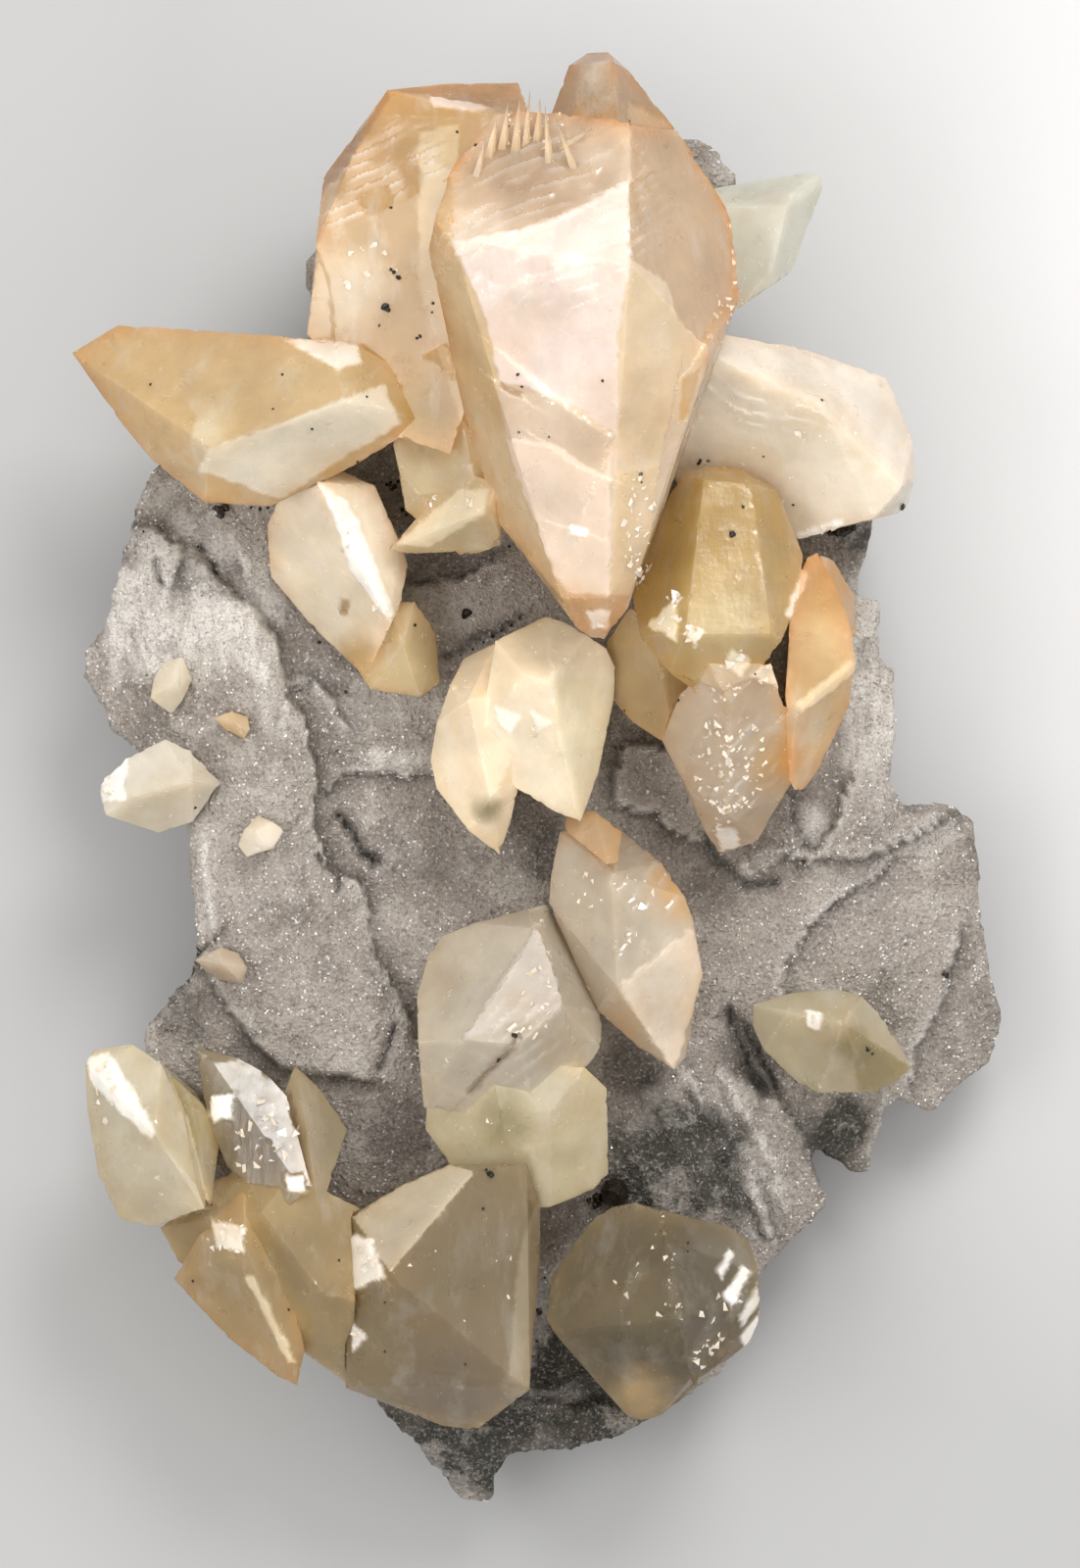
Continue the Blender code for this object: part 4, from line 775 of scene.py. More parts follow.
def rock_material():
    """Grey mauve rock with pale and dark patches, painted highlights along its step edges and ridges, and
    painted shade below its steps and in its grooves, under a sugar of fine grains.
    """
    make = Nodes("druse_rock")
    broad = make.noise(22.0, 5.0, 0.6)
    middle = make.noise(150.0, 5.0, 0.65)
    grain = make.noise(1300.0, 3.0, 0.6)
    fibres = make.noise(260.0, 4.0, 0.6, make.stretched((1.0, 0.16, 1.0), (0.0, 0.0, 0.55)))
    cells = make.add("ShaderNodeTexVoronoi", {"Scale": 1300.0, "Vector": make.place()})
    plates = make.noise(60.0, 8.0, 0.68)
    colour = make.mix(make.ramp(broad, 0.35, 0.65), (0.31, 0.265, 0.225), (0.47, 0.41, 0.355))
    colour = make.mix(make.ramp(middle, 0.45, 0.75, 0.0, 0.4), colour, (0.52, 0.47, 0.44))
    # Paler in the pale patches and in the painted highlights along step edges and ridges
    pale = make.math("MULTIPLY", make.attribute("pale"), make.ramp(fibres, 0.32, 0.6, 0.25, 1.4))
    colour = make.mix(pale, colour, (0.86, 0.80, 0.73))
    # Darker in the dark patches and in the painted shade below steps and in grooves
    colour = make.mix(make.attribute("dark"), colour, (0.035, 0.032, 0.022))
    colour = make.mix(make.ramp(plates, 0.46, 0.38, 0.0, 0.45), colour, (0.12, 0.10, 0.075))
    colour = make.mix(make.ramp(plates, 0.54, 0.60, 0.0, 0.4), colour, (0.66, 0.60, 0.53))
    colour = make.mix(make.ramp(grain, 0.54, 0.70, 0.0, 0.4), colour, (0.76, 0.72, 0.69))
    colour = make.mix(make.ramp(grain, 0.46, 0.32, 0.0, 0.45), colour, (0.10, 0.085, 0.075))
    normal = make.bump(cells.outputs["Distance"], 0.0005, 0.6)
    normal = make.bump(grain, 0.0005, 0.8, normal)
    normal = make.bump(middle, 0.0022, 0.7, normal)
    normal = make.bump(plates, 0.0110, 0.7, normal)
    make.set(Base_Color=colour, Normal=normal)
    make.set(Roughness=make.ramp(grain, 0.4, 0.7, 0.65, 0.3))
    return make.material


def druse_material():
    """The sparkling grains: clear to milky, with mirror-bright faces."""
    make = Nodes("druse_grains")
    tone = make.noise(900.0, 2.0, 0.5)
    colour = make.mix(make.ramp(tone, 0.35, 0.65), (0.40, 0.36, 0.34), (0.92, 0.89, 0.86))
    # Darker where the rock below is dark, its painted shade included
    colour = make.mix(make.attribute("dark"), colour, (0.12, 0.11, 0.10))
    make.set(Base_Color=colour, Roughness=0.1, IOR=1.6, Coat_Weight=0.6, Coat_Roughness=0.05)
    return make.material


def sphalerite_material():
    make = Nodes("sphalerite_black")
    tone = make.noise(1200.0, 3.0, 0.5)
    colour = make.mix(make.ramp(tone, 0.4, 0.7), (0.006, 0.005, 0.004), (0.03, 0.018, 0.010))
    make.set(Base_Color=colour, Roughness=make.ramp(tone, 0.3, 0.7, 0.16, 0.4), IOR=1.7)
    make.set(Specular_IOR_Level=0.3)
    return make.material


def glint_material():
    """Cleavage cracks inside a crystal, which mirror the light."""
    make = Nodes("cleavage_glint")
    tone = make.noise(800.0, 3.0, 0.6)
    colour = make.mix(make.ramp(tone, 0.4, 0.6), (1.0, 0.95, 0.86), (0.90, 0.74, 0.54))
    make.set(Base_Color=colour, Roughness=make.ramp(tone, 0.3, 0.7, 0.08, 0.3), IOR=1.66)
    make.set(Transmission_Weight=0.3)
    return make.material


def add_object(name, mesh, material):
    mesh.materials.append(material)
    obj = bpy.data.objects.new(name, mesh)
    bpy.context.scene.collection.objects.link(obj)
    return obj


def add_piece(name, mesh, material, replaced=()):
    """A finished piece, which rides on the specimen and may stand for CAD nodes."""
    obj = add_object(name, mesh, material)
    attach(obj, "root")
    if replaced:
        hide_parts(*replaced)
    return obj


def mesh_of(name, bm):
    mesh = bpy.data.meshes.new(name)
    bm.to_mesh(mesh)
    bm.free()
    return mesh


def path_distance(places, path):
    """How far each place is from a path of pixels, and 1 on its left hand, -1 on its right."""
    points = np.array([at(*pixel) for pixel in path])
    best = np.full(len(places), np.inf)
    side = np.ones(len(places))
    for start, end in zip(points, points[1:]):
        along = end - start
        share = np.clip((places - start) @ along / (along @ along), 0, 1)
        off = places - start - share[:, None] * along
        far = np.hypot(off[:, 0], off[:, 1])
        turn = np.where(along[0] * off[:, 1] < along[1] * off[:, 0], -1.0, 1.0)
        side = np.where(far < best, turn, side)
        best = np.minimum(best, far)
    return best, side


def relief(places, steps, lines=()):
    """Height of the steps, ridges and grooves at each place, in metres."""
    height = np.zeros(len(places))
    for step in steps:
        far, side = path_distance(places, step.path)
        rise = 1 / (1 + np.exp(-np.clip(far * side / (step.width * MM) * 4, -50, 50))) - 0.5
        height += step.height * MM * rise * np.exp(-far / (step.fade * MM))
    for line in lines:
        far, _ = path_distance(places, line.path)
        height += line.height * MM * np.exp(-((far / (line.width * MM)) ** 2))
    return height


def wander(point, size, reach):
    """A small shift of a place, so that what follows a path is ragged."""
    turned = noise.noise_vector(point / size)
    return np.array((point.x + turned.x * reach, point.y + turned.y * reach))


def whole_facets(node):
    """The CAD node's mesh with each flat face in one."""
    bm = bmesh.new()
    bm.from_mesh(node.data)
    bmesh.ops.remove_doubles(bm, verts=bm.verts, dist=1e-6)
    bmesh.ops.dissolve_limit(
        bm,
        angle_limit=math.radians(1.0),
        verts=bm.verts,
        edges=bm.edges,
        use_dissolve_boundaries=False,
    )
    bm.normal_update()
    bm.faces.ensure_lookup_table()
    bm.faces.index_update()
    return bm


def facet_at(tree, pixel):
    """The index of the facet that the photograph's pixel shows."""
    return tree.ray_cast(Vector((*at(*pixel), HIGH)), -UP)[2]


def share_facets(bm, tree, looks):
    """The crystal that each facet belongs to, found by spreading from each crystal's seed over
    all edges but the hollow ones, nearest first."""
    owner = {}
    front = [(0.0, name, bm.faces[facet_at(tree, look.seed)]) for name, look in looks.items()]
    while front:
        front.sort(key=lambda item: item[0])
        distance, name, face = front.pop(0)
        if face.index in owner:
            continue
        owner[face.index] = name
        for edge in face.edges:
            hollow = edge.is_manifold and edge.calc_face_angle_signed() < -0.03
            for other in edge.link_faces:
                if other.index not in owner:
                    step = (face.calc_center_median() - other.calc_center_median()).length
                    front.append((distance + step + hollow * HIGH, name, other))
    return owner


def facet_step(face, name):
    """How finely a facet is cut."""
    if max(v.co.z for v in face.verts) < ROOT_HEIGHT:
        return ROOT_STEP
    if face.normal.z < 0.12:
        return SIDE_STEP
    return FINEST_STEP if name in ("main", "tan") else FINE_STEP


def cut_edges(bm, steps):
    """Cuts each edge into pieces no longer than the step of the facets beside it."""
    groups = {}
    for edge in bm.edges:
        cuts = int(edge.calc_length() / min(steps[face.index] for face in edge.link_faces))
        if cuts:
            groups.setdefault(cuts, []).append(edge)
    for cuts, edges in groups.items():
        bmesh.ops.bisect_edges(bm, edges=edges, cuts=cuts)


def fill_facet(face, step, dice):
    """Triangles over a flat facet: the places, the triangles, and each place's own corner."""
    side = face.normal.orthogonal().normalized()
    up = face.normal.cross(side)
    origin = face.verts[0].co.copy()
    border = [Vector(((v.co - origin).dot(side), (v.co - origin).dot(up))) for v in face.verts]
    tree = kdtree.KDTree(len(border))
    for i, point in enumerate(border):
        tree.insert(point.to_3d(), i)
    tree.balance()
    low = Vector((min(p.x for p in border), min(p.y for p in border)))
    high = Vector((max(p.x for p in border), max(p.y for p in border)))
    row = step * math.sqrt(0.75)
    inner = []
    for j in range(int((high.y - low.y) / row) + 1):
        for i in range(int((high.x - low.x) / step) + 1):
            spot = low + Vector(((i + 0.5 * (j % 2)) * step, j * row))
            spot += Vector((dice.uniform(-0.2, 0.2), dice.uniform(-0.2, 0.2))) * step
            if tree.find(spot.to_3d())[2] > step * 0.55:
                inner.append(spot)
    count = len(border)
    edges = [(i, (i + 1) % count) for i in range(count)]
    found = geometry.delaunay_2d_cdt(border + inner, edges, [], 1, 1e-8)
    places = [origin + side * point.x + up * point.y for point in found[0]]
    corners = [min(source) if source and min(source) < count else None for source in found[3]]
    return places, found[2], corners


def fine_mesh(bm, owner):
    """A finer bmesh of the same facets, and each of its vertices' crystal and facet."""
    dice = random.Random(3)
    steps = {face.index: facet_step(face, owner.get(face.index)) for face in bm.faces}
    cut_edges(bm, steps)
    fine = bmesh.new()
    copies = {v: fine.verts.new(v.co) for v in bm.verts}
    origin = {}
    for face in bm.faces:
        places, triangles, corners = fill_facet(face, steps[face.index], dice)
        verts = {}
        for triangle in triangles:
            for i in triangle:
                if i not in verts and corners[i] is not None:
                    verts[i] = copies[face.verts[corners[i]]]
                elif i not in verts:
                    verts[i] = fine.verts.new(places[i])
            ring = [verts[i] for i in triangle]
            if len(set(ring)) == 3 and not fine.faces.get(ring):
                fine.faces.new(ring)
        for vert in verts.values():
            origin.setdefault(vert, (owner.get(face.index), face.index))
    for vert in [vert for vert in fine.verts if not vert.link_faces]:
        origin.pop(vert, None)
        fine.verts.remove(vert)
    bm.free()
    fine.normal_update()
    return fine, origin


def streaks(point, angle, along, across, seed=0.0):
    """Noise drawn out along a direction in the picture's plane, 0 to 1."""
    x = point.x * math.cos(angle) + point.y * math.sin(angle)
    y = -point.x * math.sin(angle) + point.y * math.cos(angle)
    bend = noise.fractal(point / (16 * MM), 1.0, 2.1, 3) * 3.0 * MM
    where = Vector((x / (along * MM), (y + bend) / (across * MM), seed))
    return noise.noise(where) * 0.5 + 0.5


def soft_disk(point, pixel, across, along):
    """1 in the middle of an oval in the picture, falling to 0 at its rim."""
    away = (point.xy - at(*pixel)) / PIXEL
    return max(0.0, min(1.0, 1.8 * (1 - math.hypot(away.x / across, away.y / along))))


def feathering(point, name):
    """How strong a crystal's feathery cleavage is at a point, and how far up its step the point
    is, both 0 to 1."""
    if name not in FEATHERS:
        return 0.0, 0.0
    feather = FEATHERS[name]
    share = soft_disk(point, feather.place, feather.across, feather.along)
    share = max(0.0, min(1.0, share * (0.8 + 2.6 * noise.noise(point / (5 * MM)))))
    turn = math.radians(feather.turn)
    rise = point.y * math.cos(turn) - point.x * math.sin(turn)
    rise += noise.noise(point / (26 * MM)) * 5 * MM + noise.noise(point / (2.4 * MM)) * 0.3 * MM
    rise /= feather.pitch * MM
    return share, rise - math.floor(rise)


def growth(point, name):
    """How far a crystal's face stands out at a point, in metres."""
    height = noise.noise(point / (13 * MM)) * 0.10
    height += noise.noise(point / (3.1 * MM)) * 0.025
    share, rise = feathering(point, name)
    if share:
        height += share * rise * FEATHERS[name].height
    return height * MM


def on_silhouette(edge):
    """Whether a convex edge has a face that looks up on one side and a steep one on the other."""
    if not edge.is_manifold or edge.calc_face_angle_signed() < 0.2:
        return False
    rises = sorted(face.normal.z for face in edge.link_faces)
    return rises[0] < 0.15 < rises[1]


def on_edge(vert):
    return any(e.is_manifold and abs(e.calc_face_angle_signed()) > 0.15 for e in vert.link_edges)


def on_ridge(vert):
    """Whether a vertex is on a convex edge between two faces that look up."""
    for edge in vert.link_edges:
        if edge.is_manifold and edge.calc_face_angle_signed() > 0.15:
            if min(face.normal.z for face in edge.link_faces) > 0.15:
                return True
    return False


def ridge_shine(vert, name):
    """How far a vertex is painted pale, as painted highlights on the crests of feathery cleavage steps and
    along convex ridges.
    """
    share, rise = feathering(vert.co, name)
    crest = 0.75 * share * max(0.0, rise - 0.5) / 0.5
    if name not in DARK_CRYSTALS and on_ridge(vert):
        crest = max(crest, 0.1 + 0.3 * noise.noise(vert.co / (4 * MM)))
    return crest


def shape_crystal(node, looks):
    """The fine mesh of one node with its growth steps and chipped edges, and its paint."""
    bm = whole_facets(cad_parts[node])
    tree = BVHTree.FromBMesh(bm)
    owner = share_facets(bm, tree, looks)
    whole = {
        patch: facet_at(tree, patch.place) for patch in PATCHES.get(node, ()) if not patch.radius
    }
    fine, origin = fine_mesh(bm, owner)
    rims = kdtree.KDTree(len(fine.verts))
    for vert in fine.verts:
        if any(on_silhouette(edge) for edge in vert.link_edges):
            rims.insert(vert.co, 0)
    rims.balance()
    places = np.array([wander(vert.co, 2 * MM, 0.5 * MM) for vert in fine.verts])
    stepped = relief(places, CRYSTAL_STEPS.get(node, ()))
    fallback = next(iter(looks))
    ridge_highlights = [ridge_shine(vert, origin[vert][0]) for vert in fine.verts]
    moves = []
    paint = []
    for vert, step in zip(fine.verts, stepped):
        name, facet = origin[vert]
        name = name or fallback
        found = rims.find(vert.co)
        away = found[2] if found[2] is not None else HIGH
        paint.append(vertex_paint(vert.co, looks[name], away, facet, node, whole, name))
        move = growth(vert.co, name)
        if vert.normal.z > 0.2:
            move += step
        if on_edge(vert):
            move -= max(0.0, noise.noise(vert.co / (1.7 * MM)) - 0.15) * 0.7 * MM
        moves.append(vert.normal * move if vert.co.z > ROOT_HEIGHT else Vector())
    paint = np.array(paint)
    lift = paint_areas(paint, places, AREAS.get(node, ()))
    for i, vert in enumerate(fine.verts):
        # Painted highlights along convex ridges and on the crests of cleavage steps
        paint[i, :3] += (np.array(RIDGE_HIGHLIGHT) - paint[i, :3]) * ridge_highlights[i]
        rise = lift[i] if vert.normal.z > 0.2 else 0.0
        vert.co += moves[i] + vert.normal * rise
    return fine, paint.astype(np.float32)


def area_share(places, outline):
    """How far each place is inside an outline of pixels: 0 outside, 1 inside."""
    far, _ = path_distance(places, (*outline, outline[0]))
    corners = np.array([at(*pixel) for pixel in outline])
    within = np.zeros(len(places), bool)
    for a, b in zip(corners, np.roll(corners, -1, axis=0)):
        crosses = (a[1] > places[:, 1]) != (b[1] > places[:, 1])
        slope = (b[0] - a[0]) / (b[1] - a[1] or 1e-9)
        within ^= crosses & (places[:, 0] < a[0] + (places[:, 1] - a[1]) * slope)
    return np.clip(0.5 + np.where(within, far, -far) / (0.5 * MM), 0, 1)


def paint_areas(paint, places, areas):
    """Paints the areas into the rows of paint, and returns how far they lift each place."""
    lift = np.zeros(len(places))
    for area in areas:
        share = area_share(places, area.outline) * 0.92
        paint[:, :3] += (np.array(area.tint) - paint[:, :3]) * share[:, None]
        paint[:, 7] += (area.cloud - paint[:, 7]) * share
        lift += share * area.lift * MM
    return lift


def vertex_paint(point, look, away, facet, node, whole, name):
    """One vertex's tint, edge tint, warmth and cloudiness, in a row."""
    tint = Vector(look.tint)
    cloud = look.cloud
    for patch in PATCHES.get(node, ()):
        if patch.radius:
            off = (point.xy - at(*patch.place)).length / (patch.radius * PIXEL)
            off += noise.noise(point / (4 * MM)) * 0.25
            share = 0.9 * max(0.0, min(1.0, 1.3 - 1.3 * off))
        else:
            share = 0.95 if facet == whole[patch] else 0.0
        tint = tint.lerp(Vector(patch.tint), share)
        cloud += (patch.cloud - cloud) * share
    warm = look.warmth * math.exp(-away / (3.4 * MM))
    return (*tint, *look.edge, warm, cloud)


def write_paint(mesh, paint):
    for name, first in (("tint", 0), ("edge_tint", 3)):
        colours = np.ones((len(paint), 4), np.float32)
        colours[:, :3] = paint[:, first : first + 3]
        mesh.attributes.new(name, "FLOAT_COLOR", "POINT").data.foreach_set("color", colours.ravel())
    for name, column in (("warm", 6), ("cloud", 7)):
        values = np.ascontiguousarray(paint[:, column])
        mesh.attributes.new(name, "FLOAT", "POINT").data.foreach_set("value", values)


def make_crystals():
    shells = []
    for node, looks in LOOKS.items():
        slot, absorbed, density = BODIES[node]
        fine, paint = shape_crystal(node, looks)
        mesh = mesh_of(f"{node}_shell", fine)
        write_paint(mesh, paint)
        material = crystal_material(f"{node}_calcite", absorbed, density)
        shell = add_piece(f"{node}_shell", mesh, material, (node,))
        mesh.shade_smooth()
        mesh.set_sharp_from_angle(angle=SHARP)
        shells.append(shell)
    return shells


def surface_of(pieces):
    """A tree to find the surface of some pieces with rays."""
    verts = []
    faces = []
    for piece in pieces:
        first = len(verts)
        verts.extend(v.co.copy() for v in piece.data.vertices)
        faces.extend([first + i for i in p.vertices] for p in piece.data.polygons)
    return BVHTree.FromPolygons(verts, faces)


def spot_strength(places, spots, ragged):
    """How strongly the spots mark each place, 0 to 1."""
    total = np.zeros(len(places))
    for spot in spots:
        turn = math.radians(spot.turn)
        off = (places - np.array(at(*spot.place))) / PIXEL
        x = off[:, 0] * math.cos(turn) + off[:, 1] * math.sin(turn)
        y = -off[:, 0] * math.sin(turn) + off[:, 1] * math.cos(turn)
        away = np.hypot(x / spot.across, y / spot.along) + ragged
        total = np.maximum(total, np.clip(2.0 * (1 - away), 0, 1) * spot.strength)
    return total


def rock_relief(point, up):
    """The rock's own roughness at a point, in millimetres: lumps, pits and short ridges."""
    rough = noise.fractal(point / (5 * MM), 0.9, 2.1, 5) * 0.5
    plates = noise.noise(point / (11 * MM) + Vector((5, 2, 8))) * 5
    rough += (plates - math.floor(plates)) ** 6 * 0.5
    fibre = streaks(point, math.radians(-58), 9, 1.4, 2.0)
    share = soft_disk(point, (200, 640), 150, 130)
    share = max(share, 0.7 * soft_disk(point, (730, 1160), 130, 150))
    return rough + share * max(0.0, up) * (fibre - 0.5) * 2.4


def make_rock():
    """The rock plate from the CAD node, remeshed finely, stepped and roughened."""
    rock = bpy.data.objects.new("rock_source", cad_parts["matrix"].data.copy())
    bpy.context.scene.collection.objects.link(rock)
    remesh = rock.modifiers.new("remesh", "REMESH")
    remesh.mode = "VOXEL"
    remesh.voxel_size = ROCK_VOXEL
    bm = bmesh.new()
    bm.from_object(rock, bpy.context.evaluated_depsgraph_get())
    bpy.data.objects.remove(rock)
    bm.normal_update()
    bmesh.ops.triangulate(bm, faces=bm.faces)
    places = np.array([wander(vert.co, 3 * MM, 0.9 * MM) for vert in bm.verts])
    lift = relief(places, ROCK_STEPS, ROCK_LINES)
    ragged = np.array([noise.fractal(v.co / (7 * MM), 1.0, 2.1, 4) * 0.4 for v in bm.verts])
    pale = spot_strength(places, PALE_ROCK, ragged)
    dark = spot_strength(places, DARK_ROCK, -ragged)
    # Painted highlight along the upper edge of each step, and painted shade on its low side
    for step in ROCK_STEPS:
        far, side = path_distance(places, step.path)
        pale = np.maximum(pale, 0.8 * np.exp(-far / (1.0 * MM)) * (side > 0))
        dark = np.maximum(dark, 0.75 * np.exp(-far / (2.2 * MM)) * (side < 0))
    # Painted highlight along each ridge, and painted shade in each groove
    for line in ROCK_LINES:
        far, _ = path_distance(places, line.path)
        mark = 0.8 * np.exp(-((far / (line.width * MM)) ** 2))
        if line.height > 0:
            pale = np.maximum(pale, mark)
        else:
            dark = np.maximum(dark, mark)
    for vert, height in zip(bm.verts, lift):
        up = vert.normal.z
        move = vert.normal * rock_relief(vert.co, up) * MM
        if up > 0.3:
            move.z += height * ROCK_STEEPNESS
        if vert.co.z < 0.6 * MM:
            move.z = max(0.0, move.z) * 0.2
        vert.co += move
    mesh = mesh_of("rock_plate", bm)
    for name, values in (("pale", pale), ("dark", dark)):
        attribute = mesh.attributes.new(name, "FLOAT", "POINT")
        attribute.data.foreach_set("value", values.astype(np.float32))
    piece = add_piece("rock_plate", mesh, rock_material(), ("matrix",))
    mesh.shade_smooth()
    return piece


def make_druse(rock, crystals):
    """Fine sparkling grains over the rock's open face, each a small double pyramid."""
    mesh = rock.data
    triangles = np.empty((len(mesh.polygons), 3), int)
    mesh.polygons.foreach_get("vertices", triangles.ravel())
    places = np.empty((len(mesh.vertices), 3))
    mesh.vertices.foreach_get("co", places.ravel())
    dark = np.empty(len(mesh.vertices), np.float32)
    mesh.attributes["dark"].data.foreach_get("value", dark)
    a, b, c = (places[triangles[:, i]] for i in range(3))
    normals = np.cross(b - a, c - a)
    area = np.linalg.norm(normals, axis=1)
    area[normals[:, 2] < 0.3 * area] = 0
    dice = np.random.RandomState(7)
    chosen = dice.choice(len(area), DRUSE_GRAINS, p=area / area.sum())
    shares = dice.dirichlet((1, 1, 1), DRUSE_GRAINS)
    verts = []
    faces = []
    tones = []
    axes = ((1, 0, 0), (0, 1, 0), (-1, 0, 0), (0, -1, 0), (0, 0, 1.5), (0, 0, -1.5))
    ring = [(i, (i + 1) % 4, 4) for i in range(4)] + [((i + 1) % 4, i, 5) for i in range(4)]
    for face, share in zip(chosen, shares):
        size = dice.uniform(0.14, 0.34) * MM
        turn = Euler(dice.uniform(0, math.tau, 3)).to_matrix()
        spot = Vector(share @ places[triangles[face]])
        if crystals.ray_cast(spot + UP * 0.2 * MM, UP)[0] is not None:
            continue
        first = len(verts)
        verts.extend(spot + turn @ Vector(axis) * size for axis in axes)
        faces.extend([first + i for i in corners] for corners in ring)
        tones.extend([dark[triangles[face][0]]] * len(axes))
    grains = bpy.data.meshes.new("druse_grains")
    grains.from_pydata(verts, [], faces)
    attribute = grains.attributes.new("dark", "FLOAT", "POINT")
    attribute.data.foreach_set("value", np.array(tones, np.float32))
    add_piece("druse_grains", grains, druse_material())


def add_lump(bm, place, size, dice, detail=1):
    """One small rough grain."""
    made = bmesh.ops.create_icosphere(bm, subdivisions=detail, radius=1.0)
    stretch = Vector([dice.uniform(0.7, 1.2) for _ in range(3)])
    turn = Euler([dice.uniform(0, math.tau) for _ in range(3)]).to_matrix()
    for vert in made["verts"]:
        knob = 1 + 0.35 * noise.noise(vert.co * 1.6 + place * 900)
        vert.co = place + turn @ (vert.co * stretch) * size * knob


def make_black_grains(surface):
    """The black sphalerite grains that sit on the crystals and the rock."""
    bm = bmesh.new()
    dice = random.Random(17)
    for px, py, width in BLACK_GRAINS:
        count = 1 if width < 6 else 4
        for k in range(count):
            spread = 0 if k == 0 else width * 0.35
            x, y = at(px + dice.uniform(-1, 1) * spread, py + dice.uniform(-1, 1) * spread)
            hit = surface.ray_cast(Vector((x, y, HIGH)), -UP)[0]
            if hit is None:
                continue
            size = width * PIXEL * (0.42 if count == 1 else 0.34)
            add_lump(bm, hit + UP * size * 0.2, size, dice, 2 if width > 6 else 1)
    mesh = mesh_of("black_grains", bm)
    add_piece("black_grains", mesh, sphalerite_material())


def add_plate(bm, corners, thickness):
    """A thin closed plate on the given ring of corners."""
    normal = (corners[1] - corners[0]).cross(corners[2] - corners[0]).normalized()
    upper = [bm.verts.new(corner + normal * thickness / 2) for corner in corners]
    lower = [bm.verts.new(corner - normal * thickness / 2) for corner in corners]
    bm.faces.new(upper)
    bm.faces.new(lower[::-1])
    for i, vert in enumerate(upper):
        k = (i + 1) % len(upper)
        bm.faces.new((vert, lower[i], lower[k], upper[k]))


def make_flakes(surface):
    """Cleavage cracks inside the crystals, as thin bright plates."""
    bm = bmesh.new()
    dice = random.Random(23)
    for zone in FLAKES:
        for _ in range(zone.count):
            angle = dice.uniform(0, math.tau)
            reach = math.sqrt(dice.random())
            px = zone.place[0] + math.cos(angle) * reach * zone.across
            py = zone.place[1] + math.sin(angle) * reach * zone.along
            hit, normal = surface.ray_cast(Vector((*at(px, py), HIGH)), -UP)[:2]
            if hit is None:
                continue
            size = zone.size * PIXEL * dice.uniform(0.25, 0.8)
            tilt = normal.lerp(UP, 0.5) + Vector([dice.uniform(-0.5, 0.5) for _ in range(3)])
            tilt.normalize()
            side = tilt.orthogonal().normalized()
            up = tilt.cross(side)
            middle = hit - normal * dice.uniform(-0.1, 0.5) * min(size, zone.depth * MM)
            turn = dice.uniform(0, math.tau)
            count = dice.choice((3, 4, 5))
            ring = []
            for k in range(count):
                angle = turn + (k + dice.uniform(-0.25, 0.25)) * math.tau / count
                far = size * dice.uniform(0.4, 1.0)
                ring.append(middle + side * math.cos(angle) * far + up * math.sin(angle) * far)
            add_plate(bm, ring, 0.06 * MM)
    mesh = mesh_of("cleavage_flakes", bm)
    add_piece("cleavage_flakes", mesh, glint_material())


def make_splinters(surface):
    """Sharp splinters along the broken top of the main crystal."""
    bm = bmesh.new()
    dice = random.Random(31)
    for foot, tip, width, lift in SPLINTERS:
        start = Vector((*at(*foot), HIGH))
        base = surface.ray_cast(start, -UP)[0] - UP * 0.8 * MM
        top = Vector((*at(*tip), base.z + lift * MM))
        along = (top - base).normalized()
        side = along.cross(UP).normalized() * width * PIXEL * 0.45
        thick = side.cross(along)
        ring = []
        for k in range(5):
            angle = (k + dice.uniform(-0.2, 0.2)) * math.tau / 5
            ring.append(bm.verts.new(base + side * math.cos(angle) + thick * math.sin(angle)))
        end = bm.verts.new(top)
        for k, vert in enumerate(ring):
            bm.faces.new((vert, ring[(k + 1) % 5], end))
        bm.faces.new(ring[::-1])
    bmesh.ops.recalc_face_normals(bm, faces=bm.faces)
    mesh = mesh_of("broken_top_splinters", bm)
    row = (0.95, 0.74, 0.50, 0.93, 0.72, 0.42, 0.2, 0.45)
    write_paint(mesh, np.tile(np.array(row, np.float32), (len(mesh.vertices), 1)))
    material = crystal_material("splinter_calcite", (1.0, 0.85, 0.62), 18.0)
    add_piece("broken_top_splinters", mesh, material)


def make_floor():
    bm = bmesh.new()
    bmesh.ops.create_grid(bm, x_segments=2, y_segments=2, size=3.0)
    make = Nodes("floor_paper")
    # A painted pool of light: the paper is painted brighter around a spot towards the upper right
    glow = make.add("ShaderNodeVectorMath", operation="DISTANCE")
    make.put(glow.inputs[0], make.place())
    glow.inputs[1].default_value = (0.16, 0.10, 0.0)
    share = make.ramp(glow.outputs["Value"], 0.02, 0.24, 1.0, 0.0)
    make.set(Base_Color=make.mix(share, (0.44, 0.44, 0.437), (0.72, 0.715, 0.71)), Roughness=0.9)
    make.set(Normal=make.bump(make.noise(300.0, 3.0), 0.0002, 0.2))
    floor = add_object("floor", mesh_of("floor", bm), make.material)
    floor.location.z = -0.3 * MM


def add_lamp(name, place, target, size, energy):
    data = bpy.data.lights.new(name, "AREA")
    data.shape = "DISK"
    data.size = size
    data.energy = energy
    lamp = bpy.data.objects.new(name, data)
    lamp.location = place
    lamp.rotation_euler = (Vector(target) - Vector(place)).to_track_quat("-Z", "Y").to_euler()
    bpy.context.scene.collection.objects.link(lamp)


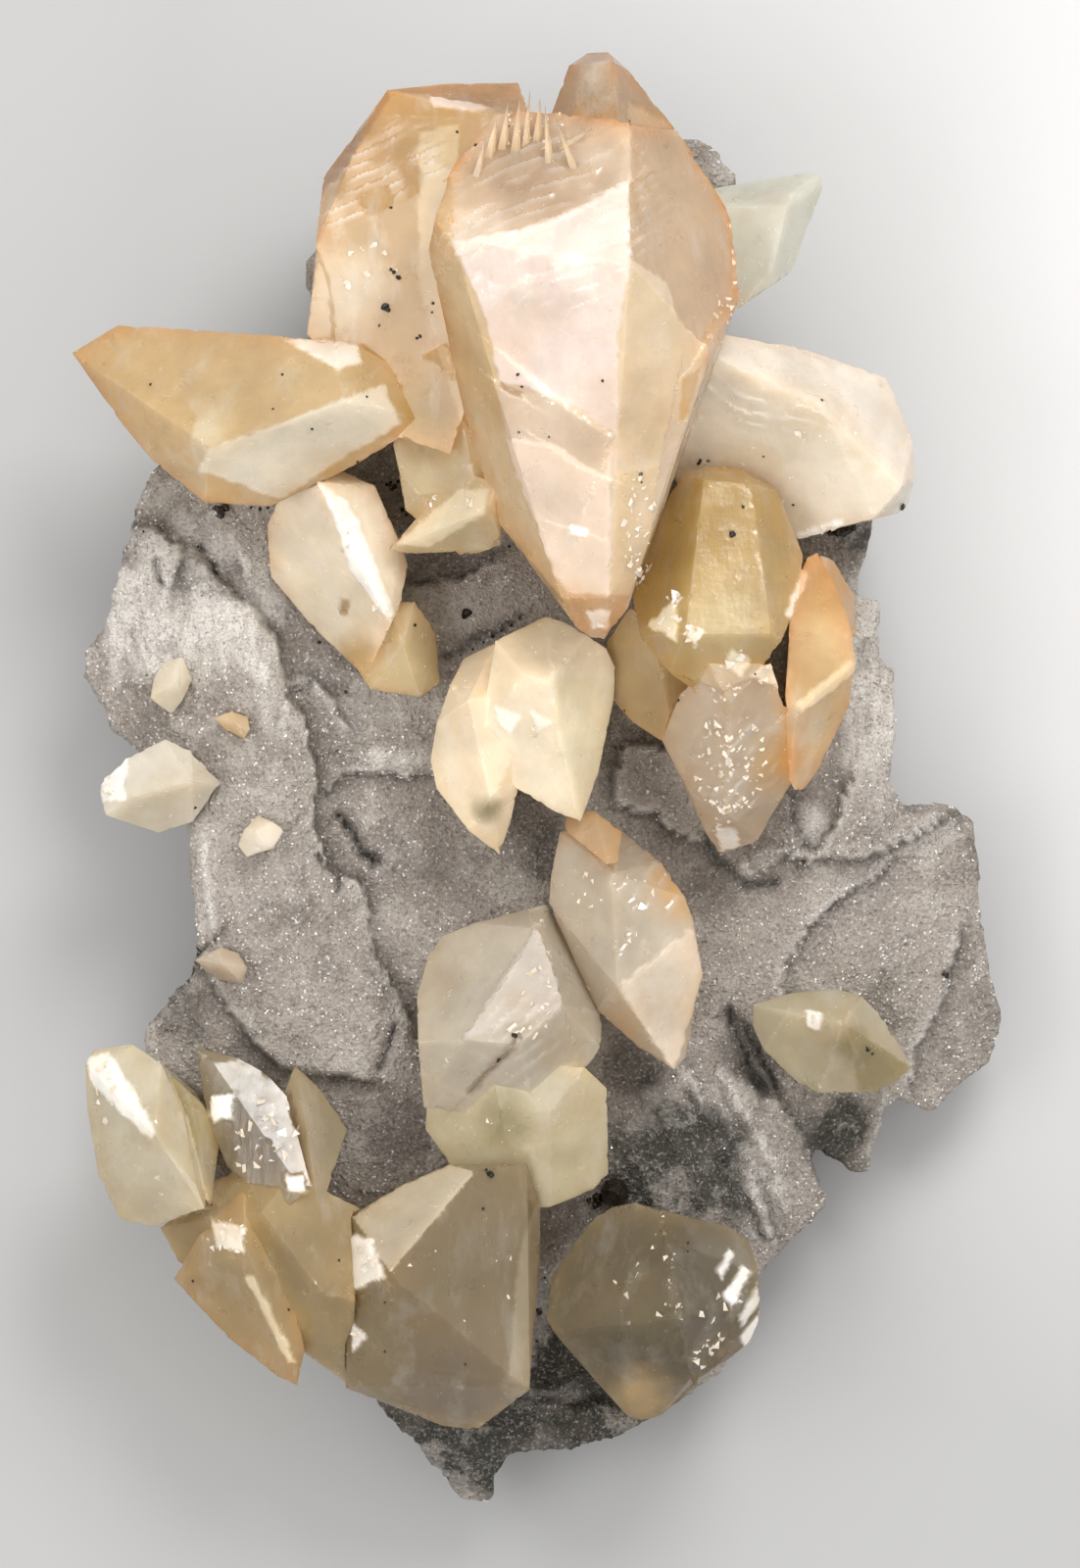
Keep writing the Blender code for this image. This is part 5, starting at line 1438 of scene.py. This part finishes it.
def make_light():
    """A soft room, brightest overhead, a soft lamp above the top edge, and a fill."""
    world = bpy.data.worlds.new("soft_room")
    bpy.context.scene.world = world
    world.use_nodes = True
    nodes = world.node_tree.nodes
    link = world.node_tree.links.new
    split = nodes.new("ShaderNodeSeparateXYZ")
    link(nodes.new("ShaderNodeTexCoord").outputs["Generated"], split.inputs[0])
    rise = nodes.new("ShaderNodeMapRange")
    link(split.outputs["Z"], rise.inputs["Value"])
    rise.inputs["From Min"].default_value = 0.05
    rise.inputs["From Max"].default_value = 0.95
    rise.inputs["To Min"].default_value = ROOM_LOW
    rise.inputs["To Max"].default_value = ROOM_HIGH
    background = nodes["Background"]
    background.inputs["Color"].default_value = (1.0, 0.99, 0.98, 1)
    link(rise.outputs["Result"], background.inputs["Strength"])
    add_lamp("top_lamp", (0.25, 0.62, 0.85), (0.02, 0.02, 0.04), 0.45, TOP_LAMP)
    add_lamp("left_fill", (-0.7, -0.1, 1.0), (0, 0, 0.04), 0.7, LEFT_FILL)
    add_lamp("low_fill", (-0.25, -0.85, 0.9), (0, 0, 0.04), 0.7, LOW_FILL)
    bpy.context.scene.view_settings.view_transform = "Standard"
    bpy.context.scene.cycles.max_bounces = 4
    bpy.context.scene.cycles.transmission_bounces = 3
    bpy.context.scene.cycles.diffuse_bounces = 2
    bpy.context.scene.cycles.sample_clamp_indirect = 1.5


def make_camera():
    data = bpy.data.cameras.new("camera")
    data.sensor_fit = "VERTICAL"
    data.sensor_height = SENSOR
    data.lens = SENSOR * CAMERA_HEIGHT / FRAME_HEIGHT
    data.clip_end = 10.0
    camera = bpy.data.objects.new("camera", data)
    camera.location = (0, 0, CAMERA_HEIGHT)
    bpy.context.scene.collection.objects.link(camera)
    bpy.context.scene.camera = camera


def make_specimen():
    noise.seed_set(WANDER_SEED)
    shells = make_crystals()
    crystals = surface_of(shells)
    rock = make_rock()
    make_druse(rock, crystals)
    make_flakes(crystals)
    make_splinters(crystals)
    make_black_grains(surface_of([*shells, rock]))
    big_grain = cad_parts["sphalerite_grain"].data
    big_grain.materials.clear()
    big_grain.materials.append(sphalerite_material())


make_camera()
make_floor()
make_light()
make_specimen()
